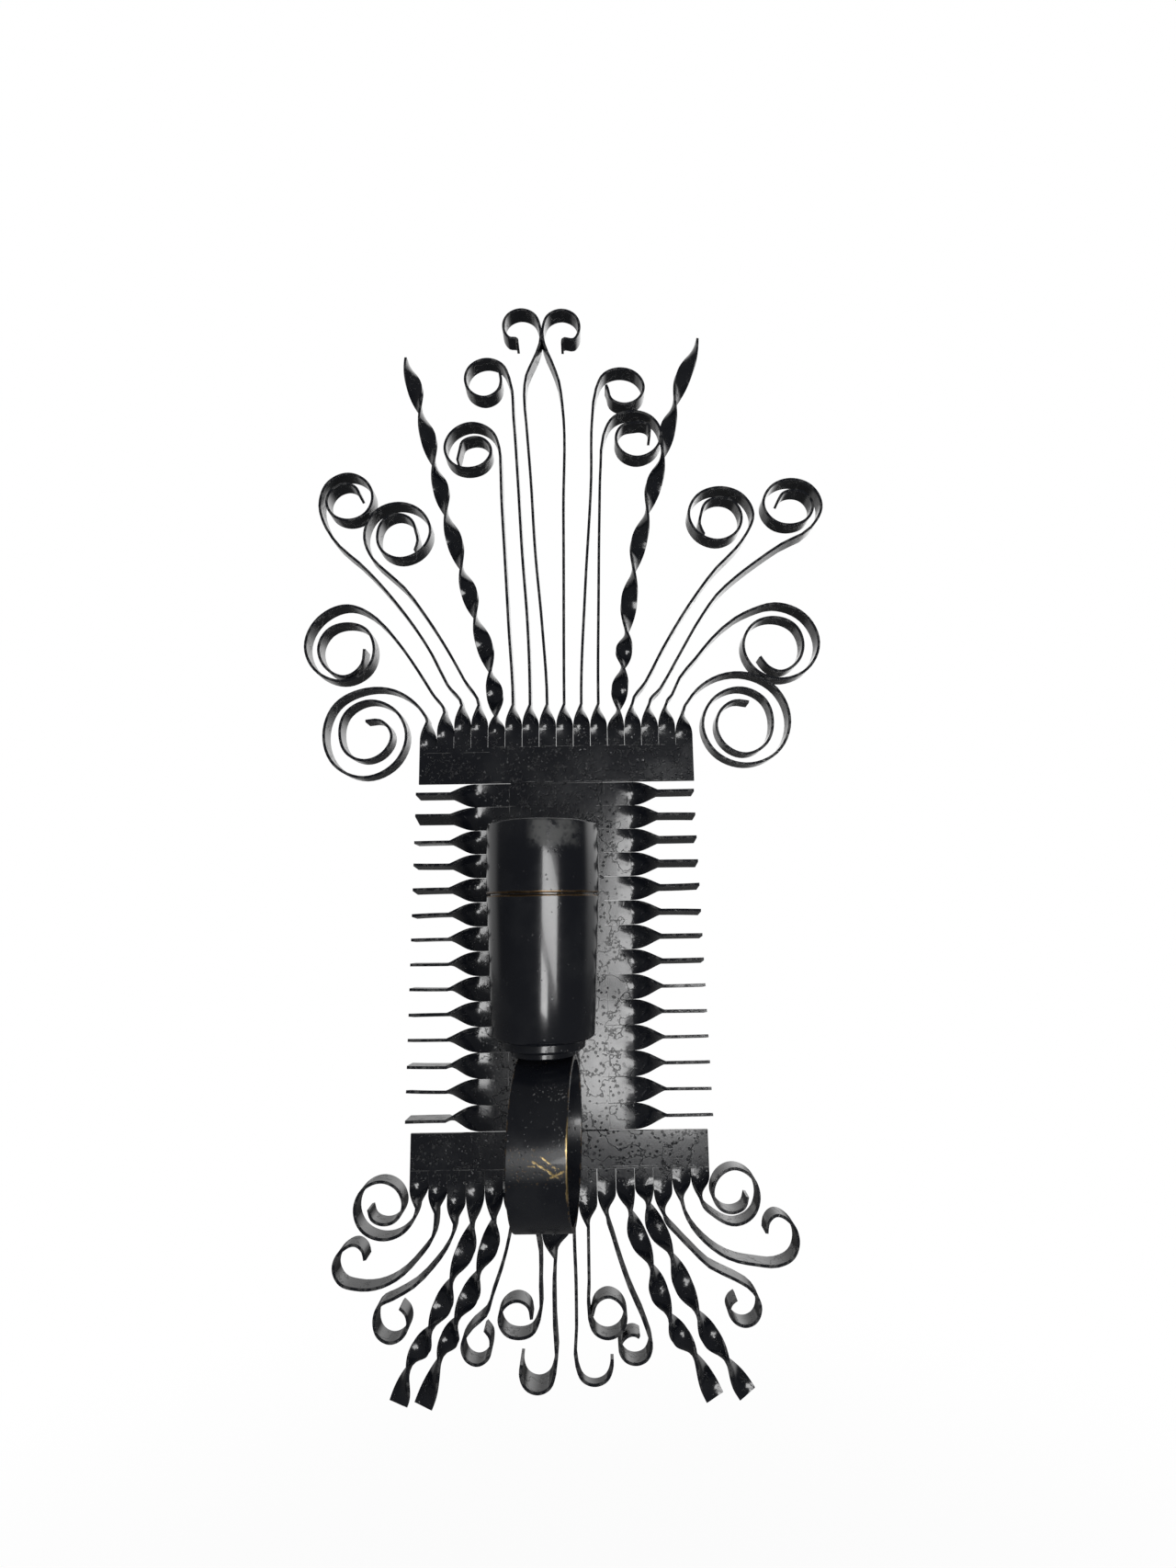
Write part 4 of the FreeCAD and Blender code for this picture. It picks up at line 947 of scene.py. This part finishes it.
def rays(graph):   # 1 for what the eye sees, straight or through glass, and 1 for reflections
    eye, gloss, through = [graph.node("ShaderNodeLightPath", out=name) for name in
                           ("Is Camera Ray", "Is Glossy Ray", "Is Transmission Ray")]
    return eye.most(through), gloss


def makeFloor():
    look = roomLook
    bm = bmesh.new()
    bmesh.ops.create_grid(bm, x_segments=4, y_segments=4, size=look["floor"],
                          matrix=Matrix.Translation((0, 0, look["floor z"])))
    mesh = bpy.data.meshes.new("paleFloor")
    bm.to_mesh(mesh)
    bm.free()
    floor = bpy.data.objects.new("paleFloor", mesh)
    bpy.context.scene.collection.objects.link(floor)
    material, graph = newMaterial("palePlaster")
    seen, gloss = rays(graph)
    spot = graph.node("ShaderNodeTexCoord", out="Object")
    away = graph.node("ShaderNodeVectorMath", {"operation": "LENGTH"}, {0: spot}, "Value")
    far = graph.ease(away, *look["floor fades"], look["floor white"], 1.0)
    matt = graph.node("ShaderNodeBsdfDiffuse", None, {"Color": look["plaster"]})
    glow = seen.most(gloss * look["glossy floor"])
    white = graph.node("ShaderNodeEmission", None, {"Color": (1.0, 1.0, 1.0), "Strength": glow})
    both = graph.node("ShaderNodeMixShader", None,
                      {0: (seen * far).most(gloss), 1: matt, 2: white})
    graph.node("ShaderNodeOutputMaterial", None, {"Surface": both})
    mesh.materials.append(material)


def makeWorld():
    look = roomLook
    world = bpy.data.worlds.new("whiteRoom")
    bpy.context.scene.world = world
    graph = Graph(world)
    seen, gloss = rays(graph)
    x, y, z = graph.parts(graph.node("ShaderNodeTexCoord", out="Generated"))
    horizon = look["horizon"]
    right = graph.ease(x, -look["side"], look["side"], look["left"], 1.0)
    behind = graph.ease(y, *look["behind"]) * graph.ease(z, -horizon, horizon, look["low"], 1.0)
    behind = behind * (graph.ease(z, -horizon, horizon, 1.0, 0.0) + right).least(1.0)
    seen = seen.most(gloss * behind)
    dim = graph.blend(gloss, (look["fill"],) * 3, (look["front"],) * 3)
    above = graph.ease(z, *look["above"], 1.0, look["high"])
    light = graph.node("ShaderNodeBackground", None,
                       {"Color": graph.blend(seen, dim, (1.0, 1.0, 1.0)),
                        "Strength": 1.0 + gloss * (above - 1.0)})
    graph.node("ShaderNodeOutputWorld", None, {"Surface": light})


def makeWindow(name, azimuth, rise, wide, high, radiance):
    distance = roomLook["window distance"]
    data = bpy.data.lights.new(name, "AREA")
    data.shape = "RECTANGLE"
    data.size = 2 * distance * math.tan(math.radians(wide / 2))
    data.size_y = 2 * distance * math.tan(math.radians(high / 2))
    data.energy = radiance * math.pi * data.size * data.size_y
    lamp = bpy.data.objects.new(name, data)
    bpy.context.scene.collection.objects.link(lamp)
    a = math.radians(azimuth)
    e = math.radians(rise)
    way = Vector((math.sin(a) * math.cos(e), -math.cos(a) * math.cos(e), math.sin(e)))
    lamp.location = Vector(roomLook["window aim"]) + way * distance
    roll = Matrix.Rotation(math.radians(roomLook["window roll"]), 3, "Z")
    lamp.rotation_euler = (way.to_track_quat("Z", "Y").to_matrix() @ roll).to_euler()


def makeCamera():
    data = bpy.data.cameras.new("eye")
    data.lens = roomLook["lens"]
    data.sensor_width = 36
    data.sensor_fit = "AUTO"
    data.clip_start = 0.01
    camera = bpy.data.objects.new("eye", data)
    bpy.context.scene.collection.objects.link(camera)
    turn = Matrix.Rotation(math.radians(90 + roomLook["tilt"]), 4, "X")
    roll = Matrix.Rotation(math.radians(-roomLook["roll"]), 4, "Z")
    camera.matrix_world = Matrix.Translation(roomLook["eye"]) @ turn @ roll
    bpy.context.scene.camera = camera


makeFloor()
makeWorld()
for name, window in roomLook["windows"].items():
    makeWindow(name, *window)
makeCamera()
bpy.context.scene.view_settings.view_transform = "Standard"
print("room ready")
